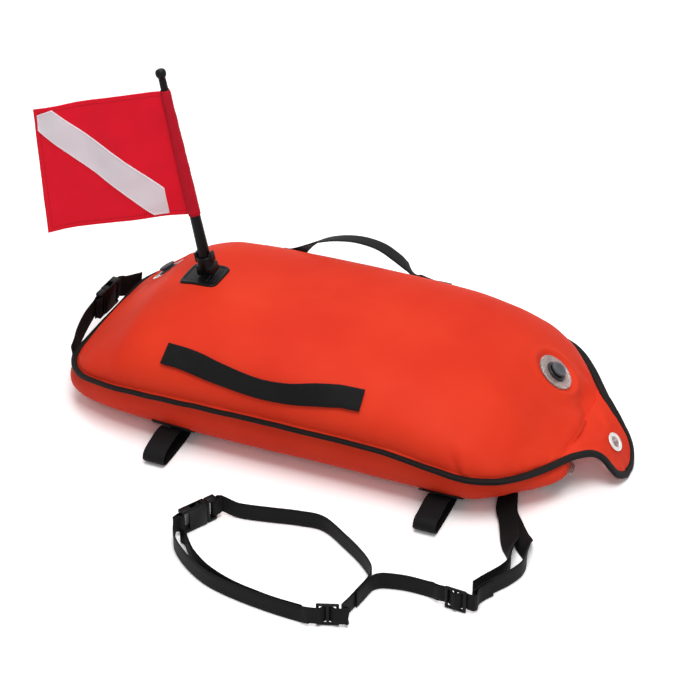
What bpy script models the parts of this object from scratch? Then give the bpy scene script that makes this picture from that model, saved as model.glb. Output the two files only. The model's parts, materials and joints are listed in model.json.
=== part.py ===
"""Inflatable spearfishing float with a dive flag, carry handles, gear loops and a belt leash.

Metres, +Z up. The origin is the centre of the hull's flat underside, the nose points along +X
and the near side, with the leash laid out beside it, is -Y.
"""
import math

import bmesh
import bpy
import numpy as np
from mathutils import Matrix, Vector

# Hull
HULL_LENGTH = 0.568
HULL_WIDTH = 0.293
HULL_HEIGHT = 0.136
HULL_MIDDLE_X = -0.003
COVER_WALL = 0.0009
BLADDER_CLEARANCE = 0.0010
SEAM_GAP = 0.0012
FIT = 0.0003
SIDE_SWELL = 0.0030
END_SWELL = 0.0110
END_SWELL_REACH = 0.040

# Fractions of the hull's length, half width and height at each station, from tail to nose, and the
# squareness of its sections: along, half width, seam height, crest height, keel height, above, below
HULL_STATIONS = (
    (0.000, 0.519, 0.368, 0.368, 0.352, 2.00, 3.00),
    (0.005, 0.601, 0.368, 0.441, 0.176, 2.00, 3.20),
    (0.014, 0.683, 0.375, 0.495, 0.066, 2.00, 3.40),
    (0.030, 0.771, 0.382, 0.549, 0.015, 2.00, 3.50),
    (0.055, 0.846, 0.397, 0.643, 0.000, 2.05, 3.50),
    (0.090, 0.901, 0.419, 0.752, 0.000, 2.15, 3.40),
    (0.144, 0.956, 0.449, 0.912, 0.000, 2.40, 3.30),
    (0.210, 0.983, 0.471, 0.985, 0.000, 2.50, 3.30),
    (0.312, 0.997, 0.493, 0.996, 0.000, 2.50, 3.30),
    (0.505, 1.000, 0.504, 1.000, 0.000, 2.50, 3.40),
    (0.699, 1.000, 0.493, 0.967, 0.000, 2.50, 3.40),
    (0.787, 1.003, 0.449, 0.908, 0.000, 2.40, 3.20),
    (0.857, 0.990, 0.412, 0.816, 0.000, 2.20, 3.00),
    (0.907, 0.910, 0.393, 0.691, 0.022, 2.05, 2.70),
    (0.945, 0.765, 0.375, 0.566, 0.051, 2.00, 2.60),
    (0.974, 0.608, 0.368, 0.471, 0.081, 2.00, 2.70),
    (0.989, 0.515, 0.368, 0.419, 0.118, 2.00, 2.70),
    (1.000, 0.445, 0.368, 0.368, 0.352, 2.00, 2.50),
)

# Binding tape round the seam
BINDING_WIDTH = 0.0066
BINDING_GAP = 0.0011
BINDING_THICKNESS = 0.0034

# Tow tab and its grommet; distances along the tab from the hull's nose
TAB_THICKNESS = 0.0024
TAB_LENGTH = 0.068
TAB_SIDE = ((0.0, 0.0620), (0.08, 0.0570), (0.18, 0.0500), (0.37, 0.0375), (0.59, 0.0295), (0.81, 0.0255),
            (0.91, 0.0205), (0.97, 0.0140), (1.0, 0.0085))
TAB_DROP = ((0.0, 0.000), (0.25, 0.0008), (0.45, 0.0045), (0.60, 0.0110), (0.75, 0.0205), (0.88, 0.0305),
            (1.0, 0.0400))
TAB_REACH = 0.060
GROMMET_AT = 0.645
GROMMET_HOLE = 0.0062
GROMMET_FLANGE = 0.0108
GROMMET_BARREL = 0.0080
GROMMET_PLATE = 0.0009

# Inflation valves: one in the tail, one in the nose and one under the nose; places are shares of the
# hull's length from its tail and of its half width
VALVE_FLANGE = 0.0222
VALVE_BARREL = 0.0105
VALVE_BORE = 0.0088
VALVE_DEPTH = 0.0120
VALVE_FLANGE_THICKNESS = 0.0016
VALVE_SINK = 0.0030
SEAT_RIM = 0.0125
SEAT_HOLE = 0.0066
CAP_HEAD = 0.0092
CAP_STEM = 0.0058
CAP_PITCH = 0.0025
TAIL_VALVE_AT = (0.08627, 0.3413)
NOSE_VALVE_AT = (0.92606, 0.2662)
UNDER_VALVE_AT = (0.98063, -0.3195)

# Dive flag, its pole and the base welded to the hull
BASE_AT = 0.21303
BASE_SIZE = 0.047
BASE_THICKNESS = 0.0024
SOCKET_AHEAD = 0.005
SOCKET_BLOCK = 0.0205
SOCKET_HEIGHT = 0.0215
SOCKET_COLLAR = 0.0098
SOCKET_FLOOR = 0.0035
POLE_LEAN = math.radians(11.3)
POLE_LENGTH = 0.232
POLE_FOOT_RADIUS = 0.0066
POLE_TIP_RADIUS = 0.0040
POLE_FIT = 0.00035
KNOB_RADIUS = 0.0060
KNOB_HEIGHT = 0.0110
SLEEVE_FROM = 0.3147
SLEEVE_SHARE = 0.6466
SLEEVE_WALL = 0.0005
FLAG_TOP_WIDTH = 0.147
FLAG_FOOT_WIDTH = 0.165
FLAG_TURN = math.radians(13.0)
FLAG_DROOP = 0.006
FLAG_THICKNESS = 0.0007
FLAG_RIPPLE = 0.0032
STRIPE_THICKNESS = 0.0004

# Webbing and its plastic hardware
WEBBING_WIDTH = 0.025
WEBBING = 0.0016
HANDLE_FROM = 0.23415
HANDLE_TO = 0.64261
NEAR_HANDLE_LEVEL = 0.7941
FAR_HANDLE_LEVEL = 0.6471
NEAR_HANDLE_SLACK = 0.0135
FAR_HANDLE_RISE = 0.0500
LOOP_AT = (0.25176, 0.80634)
LOOP_REACH = 0.047
LOOP_PATCH_LENGTH = 0.046
BUCKLE_WIDTH = 0.034
BELT_WEBBING_WIDTH = 0.020
BELT_BUCKLE_WIDTH = 0.029
LEASH_ROOT_AT = (0.90845, -0.5952)
BUCKLE_THICKNESS = 0.0092
BUCKLE_SOCKET_LENGTH = 0.0225
BUCKLE_PLUG_LENGTH = 0.0120
BUCKLE_BAR = 0.0034
BUCKLE_SLOT = 0.0052
BUCKLE_WALL = 0.0016
PRONG_LENGTH = 0.0155
PRONG_WIDTH = 0.0030
PRONG_PRESS = math.radians(7.0)
SLIDER_LENGTH = 0.0230
SLIDER_WIDTH = 0.0265
SLIDER_THICKNESS = 0.0030
SLIDER_BAR = 0.0030
STRAP_STEP = 0.014
STRAP_BEND = math.radians(24)
MM = 0.001

TAIL_X = HULL_MIDDLE_X - HULL_LENGTH / 2
NOSE_X = HULL_MIDDLE_X + HULL_LENGTH / 2
STATIONS = np.array(HULL_STATIONS)


def in_plan(share):
    """Plan place from shares of the hull's length and half width."""
    return TAIL_X + HULL_LENGTH * share[0], HULL_WIDTH / 2 * share[1]


BASE_X = TAIL_X + HULL_LENGTH * BASE_AT
SOCKET_X = BASE_X + SOCKET_AHEAD
HANDLE_START_X = TAIL_X + HULL_LENGTH * HANDLE_FROM
HANDLE_END_X = TAIL_X + HULL_LENGTH * HANDLE_TO
LEASH_ROOT = in_plan(LEASH_ROOT_AT)

for old in list(bpy.data.objects):
    bpy.data.objects.remove(old, do_unlink=True)


def new_collection(name):
    group = bpy.data.collections.new(name)
    bpy.context.scene.collection.children.link(group)
    return group


PARTS = new_collection("spearfishing_float")
CUTTERS = new_collection("cutters")


def material(name, colour, roughness, metallic=0.0, alpha=1.0):
    made = bpy.data.materials.new(name)
    made.use_nodes = True
    shader = made.node_tree.nodes["Principled BSDF"]
    shader.inputs["Base Color"].default_value = (*colour, 1.0)
    shader.inputs["Roughness"].default_value = roughness
    shader.inputs["Metallic"].default_value = metallic
    shader.inputs["Alpha"].default_value = alpha
    return made


ORANGE = (0.79, 0.055, 0.025)
BLACK = (0.012, 0.011, 0.010)


def smooth_value(knots, values, at):
    """Monotone cubic through the knots, so a profile never overshoots its stations."""
    at = min(max(at, knots[0]), knots[-1])
    i = min(max(int(np.searchsorted(knots, at)) - 1, 0), len(knots) - 2)
    steps = np.diff(knots)
    rates = np.diff(values) / steps

    def slope(k):
        if k == 0 or k == len(knots) - 1:
            return rates[min(k, len(rates) - 1)]
        before, after = rates[k - 1], rates[k]
        return 0.0 if before * after <= 0 else 2 * before * after / (before + after)

    t = (at - knots[i]) / steps[i]
    run = steps[i]
    return ((2 * t ** 3 - 3 * t ** 2 + 1) * values[i] + (t ** 3 - 2 * t ** 2 + t) * run * slope(i)
            + (3 * t ** 2 - 2 * t ** 3) * values[i + 1] + (t ** 3 - t ** 2) * run * slope(i + 1))


def station(along):
    """Half width, seam, crest and keel heights and squareness above and below, along the hull."""
    half, seam, crest, keel, above, below = (smooth_value(STATIONS[:, 0], STATIONS[:, k], along)
                                             for k in range(1, 7))
    return half * HULL_WIDTH / 2, seam * HULL_HEIGHT, crest * HULL_HEIGHT, keel * HULL_HEIGHT, above, below


def along_of(x):
    return (x - TAIL_X) / HULL_LENGTH


def end_swell(distance):
    """The lower cover swells past the seam near each end."""
    if distance >= END_SWELL_REACH:
        return 0.0
    return END_SWELL * math.sin(math.pi * math.sqrt(max(distance, 0.0) / END_SWELL_REACH))


def hull_point(along, turn, upper, inset=0.0):
    """Point of a section; turn runs from -90 degrees at the near seam to 90 at the far one."""
    half, seam, crest, keel, above, below = station(along)
    power = 2.0 / (above if upper else below)
    side = math.copysign(abs(math.sin(turn)) ** power, turn) * (half - inset)
    lift = abs(math.cos(turn)) ** power
    x = TAIL_X + HULL_LENGTH * along
    if upper:
        return Vector((x, side, seam + SEAM_GAP / 2 + max(crest - seam - inset, 0.0) * lift))
    swell = 4 * lift * (1 - lift)
    side += math.copysign(SIDE_SWELL * swell, turn)
    x += (end_swell((1 - along) * HULL_LENGTH) - end_swell(along * HULL_LENGTH)) * swell
    return Vector((x, side, max(seam - SEAM_GAP / 2 - max(seam - keel - inset, 0.0) * lift, inset)))


def hull_surface(x, y, upper):
    """The skin's point above or below a place in plan, found by a few Newton steps."""
    along = along_of(x)
    turn = math.asin(min(max(y / station(along)[0], -0.98), 0.98))
    step = 0.0005
    for _ in range(12):
        here = hull_point(along, turn, upper)
        by_along = (hull_point(along + step, turn, upper) - here) / step
        by_turn = (hull_point(along, turn + step, upper) - here) / step
        size = by_along.x * by_turn.y - by_turn.x * by_along.y
        off_x, off_y = x - here.x, y - here.y
        along += 0.8 * (off_x * by_turn.y - by_turn.x * off_y) / size
        turn += 0.8 * (by_along.x * off_y - off_x * by_along.y) / size
        along = min(max(along, 0.002), 0.998 - step)
        turn = min(max(turn, -1.55), 1.55)
    return hull_point(along, turn, upper)


def hull_frame(x, y, upper, probe=0.006):
    """Frame on the hull's skin: local Z points out of the hull, local X towards the nose."""
    ahead = hull_surface(x + probe, y, upper) - hull_surface(x - probe, y, upper)
    across = hull_surface(x, y + probe, upper) - hull_surface(x, y - probe, upper)
    out = ahead.cross(across).normalized()
    if not upper:
        out = -out
    ahead = (ahead - out * ahead.dot(out)).normalized()
    return frame(hull_surface(x, y, upper), ahead, out)


def frame(origin, x_axis, z_axis):
    z_axis = Vector(z_axis).normalized()
    x_axis = Vector(x_axis)
    x_axis = (x_axis - z_axis * x_axis.dot(z_axis)).normalized()
    y_axis = z_axis.cross(x_axis)
    turned = Matrix((x_axis, y_axis, z_axis)).transposed().to_4x4()
    turned.translation = Vector(origin)
    return turned


def empty(name, placed):
    holder = bpy.data.objects.new(name, None)
    holder.empty_display_size = 0.01
    holder.matrix_world = placed
    PARTS.objects.link(holder)
    return holder


def add_object(name, mesh, look=None, parent=None, cutter=False):
    made = bpy.data.objects.new(name, mesh)
    (CUTTERS if cutter else PARTS).objects.link(made)
    if cutter:
        made.hide_render = True
        made.display_type = "WIRE"
    if look:
        mesh.materials.append(look)
    if parent:
        made.parent = parent
    return made


def mesh_from(name, build):
    mesh = bpy.data.meshes.new(name)
    work = bmesh.new()
    build(work)
    work.normal_update()
    work.to_mesh(mesh)
    work.free()
    return mesh


def shade(mesh, angle=35.0):
    mesh.shade_smooth()
    mesh.set_sharp_from_angle(angle=math.radians(angle))


def sheet(name, rows, columns, place, thickness, look, offset=0.0, parent=None, even=True):
    """Grid laid on place(u, v), u and v from 0 to 1, then given a wall by Solidify."""
    def build(work):
        bmesh.ops.create_grid(work, x_segments=rows, y_segments=columns, size=0.5)
        for vert in work.verts:
            vert.co = place(vert.co.x + 0.5, vert.co.y + 0.5)
    mesh = mesh_from(name, build)
    shade(mesh)
    made = add_object(name, mesh, look, parent)
    wall = made.modifiers.new("wall", "SOLIDIFY")
    wall.thickness = thickness
    wall.offset = offset
    wall.use_even_offset = even
    return made


def skin(work, rings, closed=False):
    """Faces between rings of equal count; open runs are capped at both ends."""
    loops = [[work.verts.new(p) for p in ring] for ring in rings]
    count = len(loops[0])
    pairs = list(zip(loops, loops[1:]))
    if closed:
        pairs.append((loops[-1], loops[0]))
    for here, there in pairs:
        for k in range(count):
            work.faces.new((here[k], there[k], there[(k + 1) % count], here[(k + 1) % count]))
    if not closed:
        work.faces.new(loops[0])
        work.faces.new(loops[-1][::-1])
    bmesh.ops.recalc_face_normals(work, faces=work.faces)


def loft(name, rings, look, closed=False, parent=None, angle=35.0):
    mesh = mesh_from(name, lambda work: skin(work, rings, closed))
    shade(mesh, angle)
    return add_object(name, mesh, look, parent)


def angles(vectors):
    """Angle from each vector to the next."""
    units = vectors / np.linalg.norm(vectors, axis=1)[:, None]
    return np.arccos(np.clip(np.sum(units[:-1] * units[1:], axis=1), -1, 1))


def through(points, step, bend, closed=False):
    """Samples of a smooth curve through the points, closer together where it bends or twists."""
    points = np.array(points, dtype=float)
    last = len(points) if closed else len(points) - 1
    dense = []
    for i in range(last):
        if closed:
            a, b, c, d = (points[(i + k) % len(points)] for k in (-1, 0, 1, 2))
        else:
            a, b, c, d = (points[min(max(i + k, 0), last)] for k in (-1, 0, 1, 2))
        for t in np.linspace(0, 1, 24, endpoint=False):
            dense.append(0.5 * (2 * b + (c - a) * t + (2 * a - 5 * b + 4 * c - d) * t ** 2
                                + (3 * b - a - 3 * c + d) * t ** 3))
    dense.append(points[0] if closed else points[-1])
    dense = np.array(dense)
    moves = np.diff(dense[:, :3], axis=0)
    cost = np.linalg.norm(moves, axis=1) / step
    cost[1:] += (angles(moves) + angles(dense[:-1, 3:])) / bend
    run = np.concatenate([[0], np.cumsum(cost)])
    marks = np.linspace(0, run[-1], math.ceil(run[-1]) + 1)
    picked = np.stack([np.interp(marks, run, dense[:, k]) for k in range(dense.shape[1])], axis=1)
    return picked[:-1] if closed else picked


def webbing(name, route, look, width=WEBBING_WIDTH, thickness=WEBBING, parent=None):
    """Flat strap; each route point is its place followed by the direction of its width."""
    samples = through(route, STRAP_STEP, STRAP_BEND)
    rings = []
    for i, sample in enumerate(samples):
        before = samples[max(i - 1, 0)]
        after = samples[min(i + 1, len(samples) - 1)]
        ahead = Vector(after[:3] - before[:3]).normalized()
        across = Vector(sample[3:])
        across = (across - ahead * across.dot(ahead)).normalized()
        face = ahead.cross(across)
        here = Vector(sample[:3])
        rings.append([here + across * (a * width / 2) + face * (b * thickness / 2)
                      for a, b in ((-1, -1), (1, -1), (1, 1), (-1, 1))])
    return loft(name, rings, look, parent=parent, angle=30.0)


def turned(name, profile, look=None, steps=32, parent=None, cutter=False, closed=True):
    """Profile of (radius, height) pairs spun round Z; its outer side runs from top to bottom."""
    mesh = bpy.data.meshes.new(name)
    edges = [(i, i + 1) for i in range(len(profile) - 1)]
    if closed:
        edges.append((len(profile) - 1, 0))
    mesh.from_pydata([(r, 0.0, z) for r, z in profile], edges, [])
    made = add_object(name, mesh, look, parent, cutter)
    spin = made.modifiers.new("spin", "SCREW")
    spin.axis = "Z"
    spin.steps = steps
    spin.render_steps = steps
    spin.use_merge_vertices = True
    spin.merge_threshold = 0.00001
    spin.use_smooth_shade = True
    return made


def solid_turned(name, outline, look=None, steps=32, parent=None, cutter=False):
    """As turned, for a piece that is solid on its axis."""
    profile = [(0.0, outline[0][1])] + list(outline) + [(0.0, outline[-1][1])]
    return turned(name, profile, look, steps, parent, cutter, closed=False)


def box(name, size, centre, look=None, bevel=0.0, parent=None, cutter=False, turn=None):
    def build(work):
        bmesh.ops.create_cube(work, size=1.0)
        bmesh.ops.scale(work, vec=size, verts=work.verts)
        if bevel:
            bmesh.ops.bevel(work, geom=work.edges[:], offset=bevel, segments=2, profile=0.5,
                            affect="EDGES", material=-1)
        if turn:
            bmesh.ops.rotate(work, cent=(0, 0, 0), matrix=turn, verts=work.verts)
        bmesh.ops.translate(work, vec=centre, verts=work.verts)
    return add_object(name, mesh_from(name, build), look, parent, cutter)


def cut(target, cutter, operation="DIFFERENCE"):
    change = target.modifiers.new(operation.lower(), "BOOLEAN")
    change.operation = operation
    change.object = cutter
    change.solver = "EXACT"
    return target


# Hull

ORANGE_CLOTH = material("coated_orange_cloth", ORANGE, 0.42)
BLACK_TAPE = material("black_binding_tape", BLACK, 0.75)
BLACK_WEBBING = material("black_webbing", BLACK, 0.85)
BLACK_PLASTIC = material("black_acetal", (0.014, 0.014, 0.014), 0.38)
CLEAR_VINYL = material("clear_vinyl", (0.72, 0.74, 0.72), 0.15, alpha=0.5)
DARK_PLASTIC = material("dark_seat_plastic", (0.02, 0.02, 0.022), 0.35)
GREY_PLASTIC = material("grey_cap_plastic", (0.10, 0.10, 0.12), 0.4)
SEAL_RUBBER = material("seal_rubber", (0.02, 0.02, 0.02), 0.7)
BLADDER_VINYL = material("bladder_vinyl", (0.55, 0.57, 0.58), 0.4)
NICKEL = material("nickel_plate", (0.72, 0.71, 0.69), 0.28, 1.0)
RED_CLOTH = material("red_flag_cloth", (0.66, 0.012, 0.035), 0.7)
WHITE_CLOTH = material("white_stripe_cloth", (0.75, 0.72, 0.76), 0.6)

COVER_ROWS = (0.0, 0.006, 0.014, 0.026, 0.04, 0.06, 0.08, 0.105, 0.135, 0.17, 0.21, 0.26, 0.33, 0.42, 0.52,
              0.62, 0.70, 0.76, 0.81, 0.85, 0.885, 0.91, 0.93, 0.95, 0.965, 0.98, 0.99, 1.0)
UPPER_COLUMNS = 18
LOWER_COLUMNS = 16


def make_cover(name, upper, columns):
    rows = len(COVER_ROWS) - 1

    def place(u, v):
        turn = (v - 0.5) * math.pi
        return hull_point(COVER_ROWS[round(u * rows)], turn, upper)
    # The grid's normals point up, which is out of the upper cover and into the lower one
    return sheet(name, rows, columns, place, COVER_WALL, ORANGE_CLOTH, -1.0 if upper else 1.0, even=False)


cover_top = make_cover("cover_top", True, UPPER_COLUMNS)
cover_bottom = make_cover("cover_bottom", False, LOWER_COLUMNS)


def make_bladder(name, upper, columns):
    """Inflated chamber: the cover's inner form, closed by a flat web at the seam."""
    inset = COVER_WALL + BLADDER_CLEARANCE
    rings = []
    for along in COVER_ROWS[4:-3]:
        rings.append([hull_point(along, (k / columns - 0.5) * math.pi, upper, inset) for k in range(columns + 1)])
    return loft(name, rings, BLADDER_VINYL)


upper_bladder = make_bladder("upper_bladder", True, UPPER_COLUMNS // 2)
lower_bladder = make_bladder("lower_bladder", False, LOWER_COLUMNS // 2)


# Tow tab, its grommet and the binding tape

TAB_KNOTS = np.array(TAB_SIDE)
TAB_FALL = np.array(TAB_DROP)
TAB_ROOT = Vector((NOSE_X + FIT * 2, 0.0, station(1.0)[1]))


def tab_point(along, y):
    """The tab leaves the nose level and droops under its own weight."""
    reach = TAB_REACH * (along - 0.12 * along ** 3)
    return TAB_ROOT + Vector((reach, y, -smooth_value(TAB_FALL[:, 0], TAB_FALL[:, 1], along)))


def tab_half(along):
    return smooth_value(TAB_KNOTS[:, 0], TAB_KNOTS[:, 1], along)


def tab_normal(along):
    ahead = tab_point(min(along + 0.02, 1.0), 0) - tab_point(max(along - 0.02, 0.0), 0)
    return Vector((-ahead.z, 0.0, ahead.x)).normalized()


tow_tab = sheet("tow_tab", 10, 6, lambda u, v: tab_point(u, (2 * v - 1) * (tab_half(u) - FIT)),
                TAB_THICKNESS, ORANGE_CLOTH)
grommet_frame = frame(tab_point(GROMMET_AT, 0), (1, 0, 0), tab_normal(GROMMET_AT))
grommet_seat = empty("grommet_axis", grommet_frame)
cut(tow_tab, solid_turned("grommet_hole", [(GROMMET_BARREL + FIT, 0.006), (GROMMET_BARREL + FIT, -0.006)],
                          parent=grommet_seat, cutter=True, steps=24))
TAB_FACE = TAB_THICKNESS / 2 + 0.0016
turned("tow_grommet", [(GROMMET_HOLE, TAB_FACE + GROMMET_PLATE), (GROMMET_FLANGE, TAB_FACE + GROMMET_PLATE * 0.5),
                       (GROMMET_FLANGE, TAB_FACE), (GROMMET_BARREL, TAB_FACE),
                       (GROMMET_BARREL, -TAB_FACE - GROMMET_PLATE - FIT),
                       (GROMMET_HOLE, -TAB_FACE - GROMMET_PLATE - FIT)], NICKEL, 24, grommet_seat)
turned("grommet_washer", [(GROMMET_BARREL + FIT, -TAB_FACE), (GROMMET_FLANGE, -TAB_FACE),
                          (GROMMET_FLANGE, -TAB_FACE - GROMMET_PLATE),
                          (GROMMET_BARREL + FIT, -TAB_FACE - GROMMET_PLATE)], NICKEL, 24, grommet_seat)


def outline_point(along):
    """Middle of the binding tape beside the near side of the hull, square off the cover's edge."""
    out = BINDING_WIDTH / 2 + BINDING_GAP
    before, after = max(along - 0.004, 0.0), min(along + 0.004, 1.0)
    ahead = Vector(((after - before) * HULL_LENGTH, station(before)[0] - station(after)[0], 0)).normalized()
    half, seam = station(along)[:2]
    return [TAIL_X + HULL_LENGTH * along + ahead.y * out, -half - ahead.x * out, seam, 0, 0, 1]


def seam_outline():
    """Closed run of tape: near side to the tail, far side to the nose, then round the tow tab."""
    out = BINDING_WIDTH / 2 + BINDING_GAP
    near = [outline_point(a) for a in (0.985, 0.97, 0.955, 0.93, 0.90, 0.86, 0.80, 0.70, 0.58, 0.45, 0.32, 0.22,
                                       0.14, 0.09, 0.055, 0.035, 0.022, 0.012, 0.004)]
    end_half, end_seam = station(0.0)[:2]
    corner = [TAIL_X - out, -end_half * 0.97, end_seam, 0, 0, 1]
    tail = [corner, [TAIL_X - out, -end_half * 0.7, end_seam, 0, 0, 1], [TAIL_X - out, 0, end_seam, 0, 0, 1]]
    tab = []
    for a in (0.08, 0.16, 0.30, 0.45, 0.62, 0.78, 0.90, 1.0):
        slope = (tab_half(min(a + 0.02, 1.0)) - tab_half(max(a - 0.02, 0.0))) / (0.04 * TAB_LENGTH)
        lean = math.atan(slope) if a < 1.0 else -1.25
        edge = tab_point(a, tab_half(a) + out * math.cos(lean))
        ahead = (tab_point(min(a + 0.02, 1.0), 0) - tab_point(max(a - 0.02, 0.0), 0)).normalized()
        edge -= ahead * out * math.sin(lean)
        tab.append([*edge, *tab_normal(a)])
    tip = tab_point(1.0, 0) + (tab_point(1.0, 0) - tab_point(0.96, 0)).normalized() * out
    tab.append([*tip, *tab_normal(1.0)])

    def mirror(points):
        return [[p[0], -p[1], p[2], p[3], -p[4], p[5]] for p in reversed(points)]
    far_tail = mirror(tail[:-1])
    return near + tail + far_tail + mirror(near) + tab + mirror(tab[:-1])


def make_binding():
    samples = through(seam_outline(), 0.019, math.radians(15), closed=True)
    rings = []
    for i, sample in enumerate(samples):
        ahead = Vector(samples[(i + 1) % len(samples)][:3] - samples[i - 1][:3]).normalized()
        up = Vector(sample[3:])
        up = (up - ahead * up.dot(ahead)).normalized()
        out = ahead.cross(up)
        here = Vector(sample[:3])
        ring = []
        for a, b in ((1, 0.4), (0.6, 1), (-1, 1), (-1, -1), (0.6, -1), (1, -0.4)):
            ring.append(here + out * (a * BINDING_WIDTH / 2) + up * (b * BINDING_THICKNESS / 2))
        rings.append(ring)
    return loft("seam_binding", rings, BLACK_TAPE, closed=True, angle=50.0)


make_binding()


# Inflation valves

def make_valve(name, placed, cover, bladder):
    """Vinyl flange and barrel let into the bladder, a screwed seat, a seal and a screwed cap."""
    axis = empty(name + "_axis", placed @ Matrix.Translation((0, 0, -VALVE_SINK)))
    top = VALVE_FLANGE_THICKNESS
    pocket = solid_turned(name + "_pocket", [
        (VALVE_FLANGE + FIT, 0.012), (VALVE_FLANGE + FIT, -FIT), (VALVE_BARREL + FIT, -FIT),
        (VALVE_BARREL + FIT, -VALVE_DEPTH - FIT)], parent=axis, cutter=True, steps=28)
    cut(cover, pocket)
    cut(bladder, pocket)
    turned(name + "_body", [
        (VALVE_BORE, top), (VALVE_FLANGE - 0.0032, top), (VALVE_FLANGE - 0.0026, top + 0.0009),
        (VALVE_FLANGE - 0.0006, top + 0.0009), (VALVE_FLANGE, top), (VALVE_FLANGE, 0.0), (VALVE_BARREL, 0.0),
        (VALVE_BARREL, -VALVE_DEPTH), (VALVE_BORE, -VALVE_DEPTH)], CLEAR_VINYL, 28, axis)
    seat_top = top + 0.0026
    turned(name + "_seat", [
        (SEAT_HOLE, seat_top), (SEAT_RIM - 0.0008, seat_top), (SEAT_RIM, seat_top - 0.0008), (SEAT_RIM, top + FIT),
        (VALVE_BORE - FIT, top + FIT), (VALVE_BORE - FIT, -VALVE_DEPTH + 0.001), (SEAT_HOLE, -VALVE_DEPTH + 0.001)],
        DARK_PLASTIC, 20, axis)
    seal_foot = seat_top + FIT
    seal_top = seal_foot + 0.0010
    turned(name + "_seal", [
        (CAP_STEM + FIT, seal_top), (CAP_HEAD - 0.0008, seal_top), (CAP_HEAD - 0.0008, seal_foot),
        (CAP_STEM + FIT, seal_foot)], SEAL_RUBBER, 16, axis)
    head_foot = seal_top + FIT
    solid_turned(name + "_cap", [
        (0.0052, head_foot + 0.0012), (0.0068, head_foot + 0.0026), (CAP_HEAD - 0.0006, head_foot + 0.0026),
        (CAP_HEAD, head_foot + 0.0018), (CAP_HEAD, head_foot), (CAP_STEM, head_foot), (CAP_STEM, -0.0050)],
        GREY_PLASTIC, 20, axis)
    return axis


make_valve("tail_valve", hull_frame(*in_plan(TAIL_VALVE_AT), True), cover_top, upper_bladder)
make_valve("nose_valve", hull_frame(*in_plan(NOSE_VALVE_AT), True), cover_top, upper_bladder)
make_valve("under_valve", hull_frame(*in_plan(UNDER_VALVE_AT), False), cover_bottom, lower_bladder)


# Dive flag

def base_place(u, v, lift=0.0, scale=1.0):
    """Rounded square laid on the hull's crest."""
    a, b = 2 * u - 1, 2 * v - 1
    x = BASE_X + a * math.sqrt(1 - 0.22 * b * b) * BASE_SIZE / 2 * scale
    y = b * math.sqrt(1 - 0.22 * a * a) * BASE_SIZE / 2 * scale
    return hull_surface(x, y, True) + Vector((0, 0, FIT + lift))


flag_base = sheet("flag_base", 8, 8, base_place, BASE_THICKNESS, BLACK_PLASTIC, 1.0)

pole_axis = Vector((-math.sin(POLE_LEAN), 0, math.cos(POLE_LEAN)))
socket_foot = hull_surface(SOCKET_X, 0, True) + Vector((0, 0, FIT * 2 + BASE_THICKNESS + 0.0016))
pole_frame = frame(socket_foot, (1, 0, 0), pole_axis)
pole_seat = empty("pole_axis", pole_frame)
bore = POLE_FOOT_RADIUS + POLE_FIT
flag_socket = box("flag_socket", (SOCKET_BLOCK, SOCKET_BLOCK * 0.9, SOCKET_HEIGHT * 0.55),
                  (0, 0, SOCKET_HEIGHT * 0.275), BLACK_PLASTIC, 0.0022, pole_seat)
collar = solid_turned("socket_collar", [
    (SOCKET_COLLAR - 0.0008, SOCKET_HEIGHT), (SOCKET_COLLAR, SOCKET_HEIGHT - 0.0010),
    (SOCKET_COLLAR, SOCKET_HEIGHT * 0.5), (SOCKET_COLLAR, SOCKET_HEIGHT * 0.3)], parent=pole_seat, cutter=True)
cut(flag_socket, collar, "UNION")
for ear_side in (-1, 1):
    ear = box("socket_ear", (0.0030, 0.0085, 0.0110), (ear_side * (SOCKET_COLLAR - 0.0006), 0, SOCKET_HEIGHT - 0.001),
              parent=pole_seat, cutter=True)
    cut(flag_socket, ear, "UNION")
cut(flag_socket, solid_turned("pole_bore", [(bore, SOCKET_HEIGHT + 0.02), (bore, SOCKET_FLOOR)],
                              parent=pole_seat, cutter=True, steps=36))

POLE_FOOT = SOCKET_FLOOR + FIT
POLE_TOP = POLE_FOOT + POLE_LENGTH


def pole_radius(height):
    """Straight in the socket, then a steady taper to the tip."""
    start = POLE_FOOT + SOCKET_HEIGHT
    share = min(max((height - start) / (POLE_TOP - start), 0.0), 1.0)
    return POLE_FOOT_RADIUS + (POLE_TIP_RADIUS - POLE_FOOT_RADIUS) * share


solid_turned("flag_pole", [
    (POLE_TIP_RADIUS, POLE_TOP), (pole_radius(POLE_FOOT + SOCKET_HEIGHT), POLE_FOOT + SOCKET_HEIGHT),
    (POLE_FOOT_RADIUS, POLE_FOOT + 0.001), (POLE_FOOT_RADIUS - 0.0008, POLE_FOOT)], BLACK_PLASTIC, 32, pole_seat)
KNOB_FOOT = POLE_TOP + FIT
solid_turned("pole_knob", [
    (KNOB_RADIUS * 0.62, KNOB_FOOT + KNOB_HEIGHT), (KNOB_RADIUS * 0.93, KNOB_FOOT + KNOB_HEIGHT * 0.84),
    (KNOB_RADIUS, KNOB_FOOT + KNOB_HEIGHT * 0.62), (KNOB_RADIUS * 0.96, KNOB_FOOT + KNOB_HEIGHT * 0.36),
    (KNOB_RADIUS * 0.74, KNOB_FOOT + KNOB_HEIGHT * 0.12), (POLE_TIP_RADIUS, KNOB_FOOT)],
    BLACK_PLASTIC, 24, pole_seat)

SLEEVE_START = POLE_LENGTH * SLEEVE_FROM
SLEEVE_LENGTH = POLE_LENGTH * SLEEVE_SHARE
SLEEVE_END = SLEEVE_START + SLEEVE_LENGTH
SLEEVE_FIT = POLE_FIT


def sleeve_radius(height):
    return pole_radius(height) + SLEEVE_FIT + SLEEVE_WALL


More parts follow.
